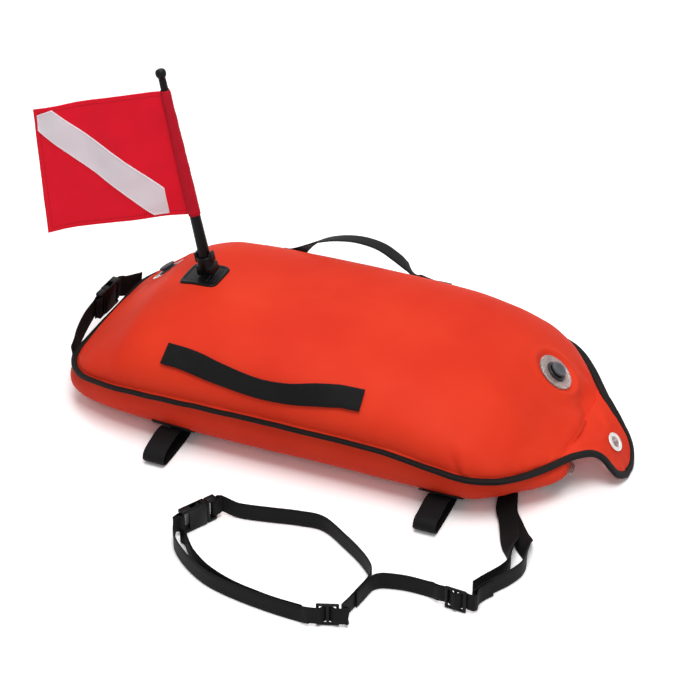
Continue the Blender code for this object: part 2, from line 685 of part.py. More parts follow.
turned("flag_sleeve", [
    (sleeve_radius(SLEEVE_END) - SLEEVE_WALL, SLEEVE_END), (sleeve_radius(SLEEVE_END), SLEEVE_END),
    (sleeve_radius(SLEEVE_START), SLEEVE_START), (sleeve_radius(SLEEVE_START) - SLEEVE_WALL, SLEEVE_START)],
    RED_CLOTH, 28, pole_seat)

# The fly points to the tail and a little to the near side, square to the pole but for its droop
fly = Vector((-math.cos(POLE_LEAN) * math.cos(FLAG_TURN), -math.sin(FLAG_TURN),
              -math.sin(POLE_LEAN) * math.cos(FLAG_TURN)))
flag_face = fly.cross(pole_axis).normalized()


def flag_point(u, v, off=0.0):
    """Cloth from the sleeve, u = 0, to the fly, u = 1, and from foot, v = 0, to head, v = 1."""
    height = SLEEVE_START + 0.001 + v * (SLEEVE_LENGTH - 0.002)
    start = socket_foot + pole_axis * height + fly * (sleeve_radius(height) + FIT)
    width = FLAG_FOOT_WIDTH + (FLAG_TOP_WIDTH - FLAG_FOOT_WIDTH) * v
    wave = FLAG_RIPPLE * u * math.sin(2 * math.pi * (1.55 * u + 0.32 * v + 0.1))
    wave += FLAG_RIPPLE * 0.5 * u * math.sin(2 * math.pi * (2.7 * u - 0.5 * v))
    droop = Vector((0, 0, -FLAG_DROOP * u * u))
    return start + fly * (width * u) + flag_face * (wave + off) + droop


sheet("flag_cloth", 20, 6, flag_point, FLAG_THICKNESS, RED_CLOTH)

# Corners of the stripe on the cloth, (u, v): hoist-side edge, middle and fly-side edge, fly end first
STRIPE_EDGES = (((0.85, 0.975), (0.125, 0.235)), ((0.975, 0.95), (0.13, 0.02)), ((0.98, 0.83), (0.235, 0.02)))


def stripe_place(t, w, off):
    lines = [((1 - t) * a[0] + t * b[0], (1 - t) * a[1] + t * b[1]) for a, b in STRIPE_EDGES]
    first, second, share = (lines[0], lines[1], 2 * w) if w < 0.5 else (lines[1], lines[2], 2 * w - 1)
    u, v = (first[k] * (1 - share) + second[k] * share for k in (0, 1))
    return flag_point(u, v, off)


stripe_off = FLAG_THICKNESS / 2 + STRIPE_THICKNESS / 2 + FIT * 3
for face, sign in (("near", -1), ("far", 1)):
    sheet("flag_stripe_" + face, 20, 4, lambda t, w, off=sign * stripe_off: stripe_place(t, w, off),
          STRIPE_THICKNESS, WHITE_CLOTH)


# Carry handles

def side_point(x, height, side, lift):
    """Point off the upper hull's side at a height, lifted along its normal."""
    half, seam, crest, keel, square = station(along_of(x))[:5]
    share = min(max((height - seam) / (crest - seam), 0.0), 0.999)
    y = side * half * (1 - share ** square) ** (1 / square)
    placed = hull_frame(x, y, True)
    out = placed.to_3x3() @ Vector((0, 0, 1))
    down = Vector((0, out.z, -out.y)).normalized()
    spot = Vector((x, y, height)) + out * lift
    return spot, -down if down.z < 0 else down


HANDLE_LIFT = WEBBING / 2 + FIT + 0.0012


def handle_route(side, height, middle):
    """Sewn flat at both ends; middle holds (share of the length, stand-off, rise, tilt of the width)."""
    span = HANDLE_END_X - HANDLE_START_X

    def sewn(share):
        spot, up = side_point(HANDLE_START_X + span * share, height, side, HANDLE_LIFT)
        return [*spot, *up]

    def free(share, off, rise, tilt):
        spot = side_point(HANDLE_START_X + span * share, height, side, HANDLE_LIFT)[0]
        across = (0, -side * math.cos(math.radians(tilt)), math.sin(math.radians(tilt)))
        return [spot.x, spot.y + side * off, spot.z + rise, *across]
    return ([sewn(share) for share in (0.0, 0.05, 0.10)] + [free(*point) for point in middle]
            + [sewn(share) for share in (0.90, 0.95, 1.0)])


near_middle = ((0.18, NEAR_HANDLE_SLACK * 0.22, 0.0, 50), (0.30, NEAR_HANDLE_SLACK * 0.66, -0.001, 72),
               (0.50, NEAR_HANDLE_SLACK, -0.004, 86), (0.66, NEAR_HANDLE_SLACK * 0.92, -0.003, 84),
               (0.79, NEAR_HANDLE_SLACK * 0.50, 0.0, 66), (0.86, NEAR_HANDLE_SLACK * 0.18, 0.0, 50))
far_middle = ((0.14, -0.002, FAR_HANDLE_RISE * 0.10, 70), (0.20, -0.006, FAR_HANDLE_RISE * 0.36, 40),
              (0.29, -0.010, FAR_HANDLE_RISE * 0.68, 20), (0.40, -0.012, FAR_HANDLE_RISE * 0.90, 14),
              (0.52, -0.013, FAR_HANDLE_RISE, 12), (0.63, -0.012, FAR_HANDLE_RISE * 0.93, 12),
              (0.71, -0.010, FAR_HANDLE_RISE * 0.72, 14), (0.765, -0.005, FAR_HANDLE_RISE * 0.46, 25),
              (0.81, 0.0002, FAR_HANDLE_RISE * 0.18, 56))
webbing("handle_near", handle_route(-1, HULL_HEIGHT * NEAR_HANDLE_LEVEL, near_middle), BLACK_WEBBING)
webbing("handle_far", handle_route(1, HULL_HEIGHT * FAR_HANDLE_LEVEL, far_middle), BLACK_WEBBING)


# Gear loops under the near side

def under_point(x, y, drop):
    placed = hull_frame(x, y, False)
    out = placed.to_3x3() @ Vector((0, 0, 1))
    return placed.translation + out * drop


def make_gear_loop(name, x):
    """Ring of webbing sewn to a patch on the lower cover and lying out on the ground."""
    lift = 0.0008 + FIT * 2 + WEBBING * 0.95
    top = under_point(x, -HULL_WIDTH * 0.465, lift)
    foot = under_point(x, -HULL_WIDTH * 0.385, lift)
    floor = WEBBING / 2 + FIT
    reach = top.y - LOOP_REACH
    ring = [top, top + Vector((0, -0.010, 0.0022)), Vector((x, reach + 0.018, top.z - 0.0005)),
            Vector((x, reach + 0.004, 0.0155)), Vector((x, reach, 0.0080)), Vector((x, reach + 0.005, 0.0022)),
            Vector((x, reach + 0.014, floor)), Vector((x, reach + 0.030, floor)),
            Vector((x, foot.y - 0.012, floor + 0.0012)), foot]
    webbing(name, [[*p, 1, 0, 0] for p in ring], BLACK_WEBBING)

    def place(u, v):
        across = x + (u - 0.5) * LOOP_PATCH_LENGTH
        y = -HULL_WIDTH * (0.375 + 0.105 * (1 - v))
        return under_point(across, y, FIT + 0.0008)
    sheet(name + "_patch", 3, 8, place, WEBBING * 0.9, BLACK_WEBBING)


make_gear_loop("tail_gear_loop", TAIL_X + HULL_LENGTH * LOOP_AT[0])
make_gear_loop("nose_gear_loop", TAIL_X + HULL_LENGTH * LOOP_AT[1])


# Side-release buckles and ladder sliders

SOCKET_BAR_X = BUCKLE_SOCKET_LENGTH + BUCKLE_SLOT + BUCKLE_BAR / 2
PLUG_BAR_X = -FIT - BUCKLE_PLUG_LENGTH + BUCKLE_BAR / 2


def prong_outline(side, width):
    """Arm and barbed head of one prong, in the buckle's plane, pivoting at its root."""
    root_y = width * 0.27
    window = width / 2
    return [(x, side * y) for x, y in (
        (0.0006, root_y - PRONG_WIDTH / 2), (0.0006, root_y + PRONG_WIDTH / 2),
        (PRONG_LENGTH * 0.40, root_y + PRONG_WIDTH / 2 + 0.0008), (PRONG_LENGTH * 0.44, window - 0.0010),
        (PRONG_LENGTH * 0.62, window - 0.0004), (PRONG_LENGTH * 0.98, root_y + PRONG_WIDTH / 2),
        (PRONG_LENGTH, root_y), (PRONG_LENGTH * 0.95, root_y - PRONG_WIDTH / 2))]


def plate_piece(name, outline, thickness, look, parent):
    """Flat outline of straight sides given its thickness, centred on the local plane."""
    def build(work):
        face = work.faces.new([work.verts.new((x, y, -thickness / 2)) for x, y in outline])
        grown = bmesh.ops.extrude_face_region(work, geom=[face])
        lifted = [item for item in grown["geom"] if isinstance(item, bmesh.types.BMVert)]
        bmesh.ops.translate(work, vec=(0, 0, thickness), verts=lifted)
        bmesh.ops.recalc_face_normals(work, faces=work.faces)
    return add_object(name, mesh_from(name, build), look, parent)


def webbing_bar(name, body, bar_x, towards, width, strap, parent):
    """Opens the end of a buckle half and leaves a round bar for the webbing between its side rails."""
    room = BUCKLE_SLOT + BUCKLE_BAR + 0.004
    inner_x = bar_x - towards * (BUCKLE_BAR / 2 + BUCKLE_SLOT)
    cut(body, box(name + "_opening", (room, strap + 0.0016, BUCKLE_THICKNESS + 0.004),
                  (inner_x + towards * room / 2, 0, 0), parent=parent, cutter=True))

    def build(work):
        bmesh.ops.create_cone(work, cap_ends=True, segments=12, radius1=BUCKLE_BAR / 2, radius2=BUCKLE_BAR / 2,
                              depth=width - 0.0040)
        bmesh.ops.rotate(work, cent=(0, 0, 0), matrix=Matrix.Rotation(math.pi / 2, 3, "X"), verts=work.verts)
        bmesh.ops.translate(work, vec=(bar_x, 0, 0), verts=work.verts)
    cut(body, add_object(name + "_bar", mesh_from(name, build), parent=parent, cutter=True), "UNION")


def make_buckle(name, placed, width, strap):
    """Local X runs from the plug into the socket; the mouth of the socket is at x = 0."""
    holder = empty(name + "_axis", placed)
    wall = BUCKLE_WALL
    inner = BUCKLE_THICKNESS - 2 * wall
    socket_end = SOCKET_BAR_X + BUCKLE_BAR * 0.6
    socket = box(name + "_socket", (socket_end, width, BUCKLE_THICKNESS),
                 (socket_end / 2, 0, 0), BLACK_PLASTIC, 0.0012, holder)
    cut(socket, box(name + "_cavity", (BUCKLE_SOCKET_LENGTH - wall + 0.002, width * 0.76, inner),
                    ((BUCKLE_SOCKET_LENGTH - wall - 0.002) / 2, 0, 0), parent=holder, cutter=True))
    cut(socket, box(name + "_windows", (PRONG_LENGTH * 0.86, width + 0.004, inner),
                    (PRONG_LENGTH * 0.80, 0, 0), parent=holder, cutter=True))
    webbing_bar(name + "_socket", socket, SOCKET_BAR_X, 1, width, strap, holder)
    plug_end = PLUG_BAR_X - BUCKLE_BAR * 0.6
    plug = box(name + "_plug", (-FIT - plug_end, width, BUCKLE_THICKNESS * 0.86),
               ((plug_end - FIT) / 2, 0, 0), BLACK_PLASTIC, 0.0012, holder)
    webbing_bar(name + "_plug", plug, PLUG_BAR_X, -1, width, strap, holder)
    tongue_length = BUCKLE_SOCKET_LENGTH * 0.72
    cut(plug, box(name + "_tongue", (tongue_length + 0.002, width * 0.2, inner * 0.62),
                  ((tongue_length - 0.002) / 2 - FIT, 0, 0), bevel=0.0005, parent=holder, cutter=True), "UNION")
    for label, side in (("left", 1), ("right", -1)):
        pivot = bpy.data.objects.new(name + "_" + label + "_pivot", None)
        PARTS.objects.link(pivot)
        pivot.parent = holder
        pivot.location = (0.0006, side * width * 0.27, 0)
        prong = plate_piece(name + "_" + label + "_prong", prong_outline(side, width), inner * 0.72,
                            BLACK_PLASTIC, pivot)
        prong.location = (-0.0006, -side * width * 0.27, 0)


def bar_fold(placed, bar_x, towards, tuck=-1):
    """Webbing doubled round a buckle's bar; the first point is the tucked end, the last leaves the bar."""
    wrap = BUCKLE_BAR / 2 + FIT + WEBBING / 2 + 0.0002
    ply = WEBBING / 2 + FIT
    width = placed.to_3x3() @ Vector((0, 1, 0))
    half = [(0.7071 * wrap, 0.7071 * wrap), (0.0, wrap), (-0.0045, wrap * 0.86), (-0.010, ply * 1.15)]
    shape = [(x, -z) for x, z in reversed(half)] + [(wrap, 0.0)] + half
    return [[*(placed @ Vector((bar_x - towards * x, 0, -tuck * z))), *width] for x, z in shape]



def make_slider(name, placed):
    """Frame with a middle bar; webbing passes under both ends and over the bar."""
    holder = empty(name + "_axis", placed)
    body = box(name, (SLIDER_LENGTH, SLIDER_WIDTH, SLIDER_THICKNESS), (0, 0, 0), BLACK_PLASTIC, 0.0010, holder)
    opening = (SLIDER_LENGTH - 3 * SLIDER_BAR) / 2
    for side in (-1, 1):
        cut(body, box(name + "_slot", (opening, BELT_WEBBING_WIDTH + 0.0016, SLIDER_THICKNESS + 0.004),
                      (side * (SLIDER_BAR + opening) / 2, 0, 0), parent=holder, cutter=True))
    return holder


def slider_pass(placed, tail=0.009):
    """Webbing through a slider, from local -X to +X; tail is how far it runs on behind."""
    off = SLIDER_THICKNESS / 2 + FIT + WEBBING / 2 + 0.0002
    edge = SLIDER_LENGTH / 2
    width = placed.to_3x3() @ Vector((0, 1, 0))
    half = [(0.0012, off), (edge * 0.41, off * 0.05), (edge * 0.66, -off), (edge - SLIDER_BAR * 0.5, -off * 1.04),
            (edge + 0.001, -off)]
    shape = [(-edge - 0.009, -off * 0.7)] + [(-x, z) for x, z in reversed(half)] + half + [(edge + tail, -off * 0.7)]
    return [[*(placed @ Vector((x, 0, z))), *width] for x, z in shape]


# Tail strap, sewn to the seam at both tail corners and closed by a buckle

tail_half = station(0.0)[0] + BINDING_WIDTH
tail_out = TAIL_X - BINDING_WIDTH
tail_seam = station(0.0)[1]
tail_buckle_frame = frame((tail_out - 0.0085, 0.0050, tail_seam + 0.01445), (0.01, 1.0, -0.03), (-1.0, 0.01, 0.10))
make_buckle("tail_buckle", tail_buckle_frame, BUCKLE_WIDTH, WEBBING_WIDTH)
DOWN = (0.0, 0.0, -1.0)
webbing("tail_strap_near", bar_fold(tail_buckle_frame, PLUG_BAR_X, -1)
        + [[tail_out - 0.0085, -0.038, tail_seam + 0.0120, *DOWN], [tail_out - 0.0065, -0.060, tail_seam + 0.0050, *DOWN],
           [tail_out - 0.0030, -(tail_half - 0.008), tail_seam + 0.0005, *DOWN],
           [tail_out - 0.0010, -(tail_half + 0.002), tail_seam - 0.0020, *DOWN]], BLACK_WEBBING)
webbing("tail_strap_far", bar_fold(tail_buckle_frame, SOCKET_BAR_X, 1)
        + [[tail_out - 0.0070, 0.056, tail_seam + 0.0070, *DOWN], [tail_out - 0.0034, tail_half - 0.006, tail_seam, *DOWN],
           [tail_out - 0.0010, tail_half + 0.0025, tail_seam - 0.0020, *DOWN]], BLACK_WEBBING)


# Leash and belt, laid on the ground on their edges; places in millimetres

GROUND = BELT_WEBBING_WIDTH / 2 + 0.0004
LAY_X = LEASH_ROOT[0] - 0.2290
LAY_Y = LEASH_ROOT[1] + 0.0872
UPRIGHT = (0, 0, 1)


def on_edge(*places):
    """Route points for webbing standing on its edge on the ground."""
    return [[LAY_X + x * MM, LAY_Y + y * MM, GROUND, *UPRIGHT] for x, y in places]


def laid(*places):
    """Route points with their own heights and width directions."""
    return [[LAY_X + x * MM, LAY_Y + y * MM, z * MM, *width] for x, y, z, *width in places]


def ground_frame(x, y, heading, width):
    """Frame for hardware standing on edge, local X along the heading and local Y upright."""
    ahead = Vector((math.cos(heading), math.sin(heading), 0))
    middle = (LAY_X + x * MM, LAY_Y + y * MM, width / 2 + 0.0004)
    return frame(middle, ahead, ahead.cross(Vector((0, 0, 1))))


def belt_webbing(name, route):
    return webbing(name, route, BLACK_WEBBING, BELT_WEBBING_WIDTH)


belt_buckle_frame = ground_frame(-48.5, -252.5, math.radians(241), BELT_BUCKLE_WIDTH)
make_buckle("belt_buckle", belt_buckle_frame, BELT_BUCKLE_WIDTH, BELT_WEBBING_WIDTH)
leash_slider_frame = ground_frame(243.5, -286, math.radians(-4), SLIDER_WIDTH)
make_slider("leash_slider", leash_slider_frame)
belt_slider_frame = ground_frame(135, -356, math.radians(200), SLIDER_WIDTH)
make_slider("belt_slider", belt_slider_frame)

# The belt leaves the plug, passes the link and its slider, and folds round the socket's bar
belt_webbing("belt", bar_fold(belt_buckle_frame, PLUG_BAR_X, -1) + on_edge(
    (-22, -233), (-8, -232), (17, -227), (46, -221), (73, -220), (105, -239), (129, -256), (145, -271),
    (152, -284), (152.5, -297), (150, -314), (147.5, -331), (145.5, -344)) + slider_pass(belt_slider_frame) + on_edge(
    (108, -362.5), (75, -361), (34, -356), (-2, -347), (-31, -331), (-56, -309)) + bar_fold(
    belt_buckle_frame, SOCKET_BAR_X, 1, tuck=1)[::-1])
belt_webbing("belt_return", on_edge(
    (-57, -294), (-50, -297), (-42, -307), (-28, -322), (-4, -338.5), (28, -351), (62, -357.2), (80, -359.2),
    (96, -359.8), (109, -360.0)))
# The link is sewn flat to the belt; behind its slider it turns up beside the leash
belt_webbing("leash_link", on_edge(
    (151.1, -321), (152.1, -314.3), (153.7, -304), (154.6, -297), (156.4, -289.5), (162, -284), (170, -281),
    (189, -277.5), (213, -277.5)) + slider_pass(leash_slider_frame, 0.0015) + laid(
    (262.6, -284.2, 13.3, *UPRIGHT), (264.0, -279.5, 12.2, *UPRIGHT), (262.8, -274.2, 11.1, *UPRIGHT))
    + on_edge((262.4, -268.4), (266.2, -259.3), (271, -251.2)))


# Leash: both plies stand on edge at the slider, lie down flat and are sewn under the nose

LYING = (0.88, 0.47, 0.0)


def under_nose(along, plies):
    """Route point under the hull where the leash is sewn; along runs outwards from its end."""
    placed = hull_frame(LEASH_ROOT[0] + along * 0.42, LEASH_ROOT[1] - along * 0.91, False)
    out = placed.to_3x3() @ Vector((0, 0, 1))
    width = Vector(LYING) - out * out.dot(Vector(LYING))
    return [*(placed.translation + out * (0.0016 + WEBBING / 2 + plies * (WEBBING + 0.0008))), *width]


front_ply = [under_nose(along, 1) for along in (-0.006, 0.0, 0.006)] + laid(
    (240, -115, 2.4, *LYING), (250, -130, 1.8, *LYING), (263.5, -149, 2, 0.86, 0.50, 0.02),
    (274.5, -165, 5.2, 0.84, 0.34, 0.42), (281.5, -179, 9.2, 0.40, 0.12, 0.90))
belt_webbing("leash_front_ply", front_ply + on_edge((286, -193), (287.5, -208), (284.5, -220), (278.5, -233),
                                                    (270.5, -246), (263.3, -259), (259.3, -269), (258.6, -274)))
rear_ply = [under_nose(along, 0) for along in (-0.006, 0.0, 0.006)] + laid(
    (237, -117, 6.2, *LYING), (245.5, -133, 5.2, *LYING),
    (253.5, -151.5, 5.5, 0.92, 0.36, 0.03), (260, -169, 7.6, 0.86, 0.28, 0.42),
    (266.5, -185, 9.6, 0.40, 0.12, 0.90))
belt_webbing("leash_rear_ply", rear_ply + on_edge((271, -199), (273, -212), (270, -224), (264, -236.5),
                                                  (257.5, -249), (252.5, -260)))
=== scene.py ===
import json
import math
from collections import namedtuple
from functools import lru_cache

import bmesh
import bpy
import numpy as np
from mathutils import Matrix, Vector, noise


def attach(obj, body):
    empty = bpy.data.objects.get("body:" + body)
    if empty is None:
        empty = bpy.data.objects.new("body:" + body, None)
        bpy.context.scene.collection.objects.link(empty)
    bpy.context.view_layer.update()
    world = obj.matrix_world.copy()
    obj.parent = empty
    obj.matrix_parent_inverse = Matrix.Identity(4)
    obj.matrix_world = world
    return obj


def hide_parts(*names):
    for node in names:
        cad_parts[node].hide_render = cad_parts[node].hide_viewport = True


# Spearfishing float: coated cloth, tape, webbing, flag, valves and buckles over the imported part.
# Metres, X to the nose, Y to the far side, Z up.
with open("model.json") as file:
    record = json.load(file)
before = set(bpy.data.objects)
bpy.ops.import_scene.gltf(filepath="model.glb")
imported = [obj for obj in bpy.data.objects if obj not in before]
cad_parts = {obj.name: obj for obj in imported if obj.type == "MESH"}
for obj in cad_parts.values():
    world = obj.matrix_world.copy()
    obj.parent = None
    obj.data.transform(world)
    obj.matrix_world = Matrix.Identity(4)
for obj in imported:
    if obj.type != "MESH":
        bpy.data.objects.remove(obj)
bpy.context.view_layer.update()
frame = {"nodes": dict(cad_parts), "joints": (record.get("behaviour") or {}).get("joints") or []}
MM = 0.001
FIT = 0.0003

# Camera

CAMERA_TARGET = Vector((0.0, 0.026, 0.060))
CAMERA_TOWARDS = Vector((0.3215, -0.7725, 0.5476))
CAMERA_DISTANCE = 2.480
CAMERA_LENS = 113.14
CAMERA_SENSOR = 36.0
CAMERA_REACH = 20.0


def link(obj):
    bpy.context.scene.collection.objects.link(obj)
    return obj


def set_camera():
    camera = link(bpy.data.objects.new("camera", bpy.data.cameras.new("camera")))
    camera.location = CAMERA_TARGET + CAMERA_TOWARDS.normalized() * CAMERA_DISTANCE
    camera.rotation_euler = (-CAMERA_TOWARDS).to_track_quat("-Z", "Y").to_euler()
    camera.data.lens = CAMERA_LENS
    camera.data.sensor_width = CAMERA_SENSOR
    camera.data.clip_end = CAMERA_REACH
    bpy.context.scene.camera = camera


set_camera()


# Materials: noise scales are lumps per metre, wave scales are BANDS over the distance of the threads

BANDS = 0.31
COAT_THREADS = 0.0011
FLAG_THREADS = 0.0009
WEBBING_RIBS = 0.0016
TAPE_RIBS = 0.0012
MOULD_GRAIN = 0.0005


def colour(text):
    """sRGB hex to linear."""
    parts = [int(text[k:k + 2], 16) / 255 for k in (0, 2, 4)]
    return tuple(c / 12.92 if c <= 0.04045 else ((c + 0.055) / 1.055) ** 2.4 for c in parts) + (1.0,)


def add(look, kind, inputs=None, to=None, **settings):
    """One shader node with its settings; an input is a value or the (node, output) that feeds it, and to is
    the (output, node, input) that it feeds."""
    made = look.node_tree.nodes.new("ShaderNode" + kind)
    for key, value in settings.items():
        setattr(made, key, value)
    for key, value in (inputs or {}).items():
        if isinstance(value, tuple) and isinstance(value[0], bpy.types.Node):
            look.node_tree.links.new(value[0].outputs[value[1]], made.inputs[key])
        else:
            made.inputs[key].default_value = value
    if to:
        look.node_tree.links.new(made.outputs[to[0]], to[1].inputs[to[2]])
    return made


def principled(name, **inputs):
    look = bpy.data.materials.new(name)
    look.use_nodes = True
    shader = look.node_tree.nodes["Principled BSDF"]
    for key, value in inputs.items():
        shader.inputs[key.replace("_", " ")].default_value = value
    return look, shader


def tint(look, shader, factor, low, high, from_min, from_max):
    """Base colour blended from low to high over a factor's range; 6, 7 and 2 are the mix's colour sockets."""
    share = add(look, "MapRange", {"Value": factor, "From Min": from_min, "From Max": from_max})
    add(look, "Mix", {"Factor": (share, 0), 6: low, 7: high}, to=(2, shader, "Base Color"), data_type="RGBA")


def crossed(look, place, operation, across, along):
    """Crossing threads, each set given by the inputs of its bands, multiplied or added."""
    first, second = (add(look, "TexWave", {"Vector": place, **inputs}, wave_type="BANDS", bands_direction=way)
                     for inputs, way in ((across, "X"), (along, "Y")))
    return add(look, "Math", {0: (first, 1), 1: (second, 1)}, operation=operation)


def coated_nylon():
    """Polyurethane-coated nylon: a satin, rubbery face with a broad soft shine, the weave only just telling
    through the coat, faint cloudiness where it is stretched over the air chamber."""
    look, shader = principled("pu_coated_nylon", Roughness=0.62, IOR=1.50, Specular_IOR_Level=0.12)
    place = (add(look, "TexCoord"), "Object")
    cloud = add(look, "TexNoise", {"Vector": place, "Scale": 9.0, "Detail": 3.0, "Roughness": 0.5})
    tint(look, shader, (cloud, 0), colour("DC321B"), colour("E63C21"), 0.32, 0.68)
    # 0.3 mm threads are too fine to show, so the weave is drawn at 1.1 mm
    threads = {"Scale": BANDS / COAT_THREADS, "Distortion": 0.4}
    weave = crossed(look, place, "MULTIPLY", threads, threads)
    fine = add(look, "Bump", {"Height": (weave, 0), "Distance": 0.00002, "Strength": 0.35})
    ease = add(look, "TexNoise", {"Vector": place, "Scale": 42.0, "Detail": 2.0, "Roughness": 0.45})
    add(look, "Bump", {"Height": (ease, 0), "Distance": 0.0009, "Strength": 0.30, "Normal": (fine, 0)},
        to=(0, shader, "Normal"))
    return look


def woven(name, base, light, rib, depth):
    """Filament webbing or tape: ribs across its length and wider columns along it, read from the strap's own
    map in metres; the crowns of the threads are painted a lighter grey, a painted highlight of their sheen."""
    look, shader = principled(name, Roughness=0.68, IOR=1.57, Specular_IOR_Level=0.12)
    ribs = {"Scale": BANDS / rib, "Distortion": 1.0, "Detail": 1.0, "Detail Scale": 2.0}
    columns = {"Scale": BANDS / (rib * 1.6), "Distortion": 0.8}
    weave = crossed(look, (add(look, "UVMap", uv_map="run"), 0), "MULTIPLY", ribs, columns)
    # painted highlight: the base colour turns lighter grey on the crowns of the weave
    tint(look, shader, (weave, 0), base, light, 0.15, 0.9)
    add(look, "Bump", {"Height": (weave, 0), "Distance": depth, "Strength": 0.8}, to=(0, shader, "Normal"))
    return look


def flag_nylon(name, low, high, roughness):
    """Plain-woven flag nylon: a thin matt cloth with crossing threads and a faint silkiness."""
    look, shader = principled(name, Roughness=roughness, IOR=1.53, Specular_IOR_Level=0.14)
    # 0.25 mm threads, drawn at 0.9 mm so that the cloth tells from the distance of the render
    threads = {"Scale": BANDS / FLAG_THREADS, "Distortion": 0.6}
    weave = crossed(look, (add(look, "UVMap", uv_map="run"), 0), "ADD", threads, threads)
    tint(look, shader, (weave, 0), low, high, 0.3, 1.7)
    add(look, "Bump", {"Height": (weave, 0), "Distance": 0.00004, "Strength": 0.4}, to=(0, shader, "Normal"))
    return look


def moulded(name, base, light, roughness, ior=1.48, shine=0.5):
    """Moulded plastic, rubber, film or thread: satin from a fine spark texture, its flow marks barely seen."""
    look, shader = principled(name, Roughness=roughness, IOR=ior, Specular_IOR_Level=shine)
    place = (add(look, "TexCoord"), "Object")
    cloud = add(look, "TexNoise", {"Vector": place, "Scale": 60.0, "Detail": 2.0})
    tint(look, shader, (cloud, 0), base, light, 0.3, 0.7)
    # spark texture of 0.1 mm, drawn at 0.5 mm
    grain = add(look, "TexNoise", {"Vector": place, "Scale": 1 / MOULD_GRAIN, "Detail": 1.0})
    add(look, "Bump", {"Height": (grain, 0), "Distance": 0.00002, "Strength": 0.35}, to=(0, shader, "Normal"))
    return look


def clear_vinyl():
    """Clear plasticised PVC, 1.6 mm thick: glossy, a little cloudy, the orange cloth showing through it."""
    look, shader = principled("clear_pvc", Roughness=0.10, IOR=1.53, Transmission_Weight=0.76)
    place = (add(look, "TexCoord"), "Object")
    cloud = add(look, "TexNoise", {"Vector": place, "Scale": 90.0, "Detail": 2.0})
    tint(look, shader, (cloud, 0), colour("C9CFCC"), colour("F0F3F0"), 0.3, 0.7)
    swirl = add(look, "TexNoise", {"Vector": place, "Scale": 95.0, "Detail": 1.0})
    add(look, "Bump", {"Height": (swirl, 0), "Distance": 0.0004, "Strength": 0.35}, to=(0, shader, "Normal"))
    return look


def nickel_plate():
    """Nickel-plated pressed brass: bright, a little warm, softened by fine polishing marks."""
    look, shader = principled("nickel_plated_brass", Metallic=0.6, Roughness=0.34)
    place = (add(look, "TexCoord"), "Object")
    worn = add(look, "TexNoise", {"Vector": place, "Scale": 120.0, "Detail": 3.0})
    tint(look, shader, (worn, 0), colour("DAD8D4"), colour("F4F3F0"), 0.3, 0.7)
    add(look, "MapRange", {"Value": (worn, 0), "To Min": 0.22, "To Max": 0.38}, to=(0, shader, "Roughness"))
    add(look, "Bump", {"Height": (worn, 0), "Distance": 0.00003, "Strength": 0.4}, to=(0, shader, "Normal"))
    return look


NYLON = coated_nylon()
# the lighter colour of the webbing and of the tape is the painted highlight on their thread crowns
WEBBING_LOOK = woven("polyester_webbing", colour("060607"), colour("131214"), WEBBING_RIBS, 0.00018)
TAPE_LOOK = woven("grosgrain_tape", colour("0B0A09"), colour("201E1B"), TAPE_RIBS, 0.00012)
FLAG_LOOK = flag_nylon("red_flag_nylon", colour("E41029"), colour("F41831"), 0.60)
STRIPE_LOOK = flag_nylon("white_flag_nylon", colour("E5DAE2"), colour("F4EDF3"), 0.55)
SLEEVE_LOOK = flag_nylon("red_nylon_over_black_pole", colour("B01024"), colour("C8162C"), 0.62)
ACETAL = moulded("black_acetal_moulding", colour("070708"), colour("0E0E10"), 0.36, 1.48, 0.14)
SEAT_LOOK = moulded("black_nylon_seat", colour("101012"), colour("1A1A1D"), 0.26, 1.53, 0.3)
CAP_LOOK = moulded("grey_polypropylene_cap", colour("4A4B52"), colour("5E5F66"), 0.36, 1.49, 0.3)
RUBBER = moulded("nitrile_rubber", colour("101010"), colour("1C1C1C"), 0.62, 1.52)
BLADDER_LOOK = moulded("grey_pvc_film", colour("9A9C9E"), colour("B4B6B8"), 0.4)
THREAD = moulded("polyester_thread", colour("0C0B0D"), colour("1A191C"), 0.60, 1.57, 0.15)
RED_THREAD = moulded("red_polyester_thread", colour("98101F"), colour("B01628"), 0.60, 1.57, 0.15)
WHITE_THREAD = moulded("white_polyester_thread", colour("EFE9F0"), colour("FAF7FA"), 0.60, 1.57, 0.15)
PVC = clear_vinyl()
NICKEL = nickel_plate()


# Hull form

HULL_LENGTH = 0.568
HULL_HALF = 0.1465
HULL_HEIGHT = 0.136
TAIL_X = -0.287
NOSE_X = TAIL_X + HULL_LENGTH
SEAM_GAP = 0.0012
SIDE_SWELL = 0.0030
END_SWELL = 0.0110
END_SWELL_REACH = 0.040
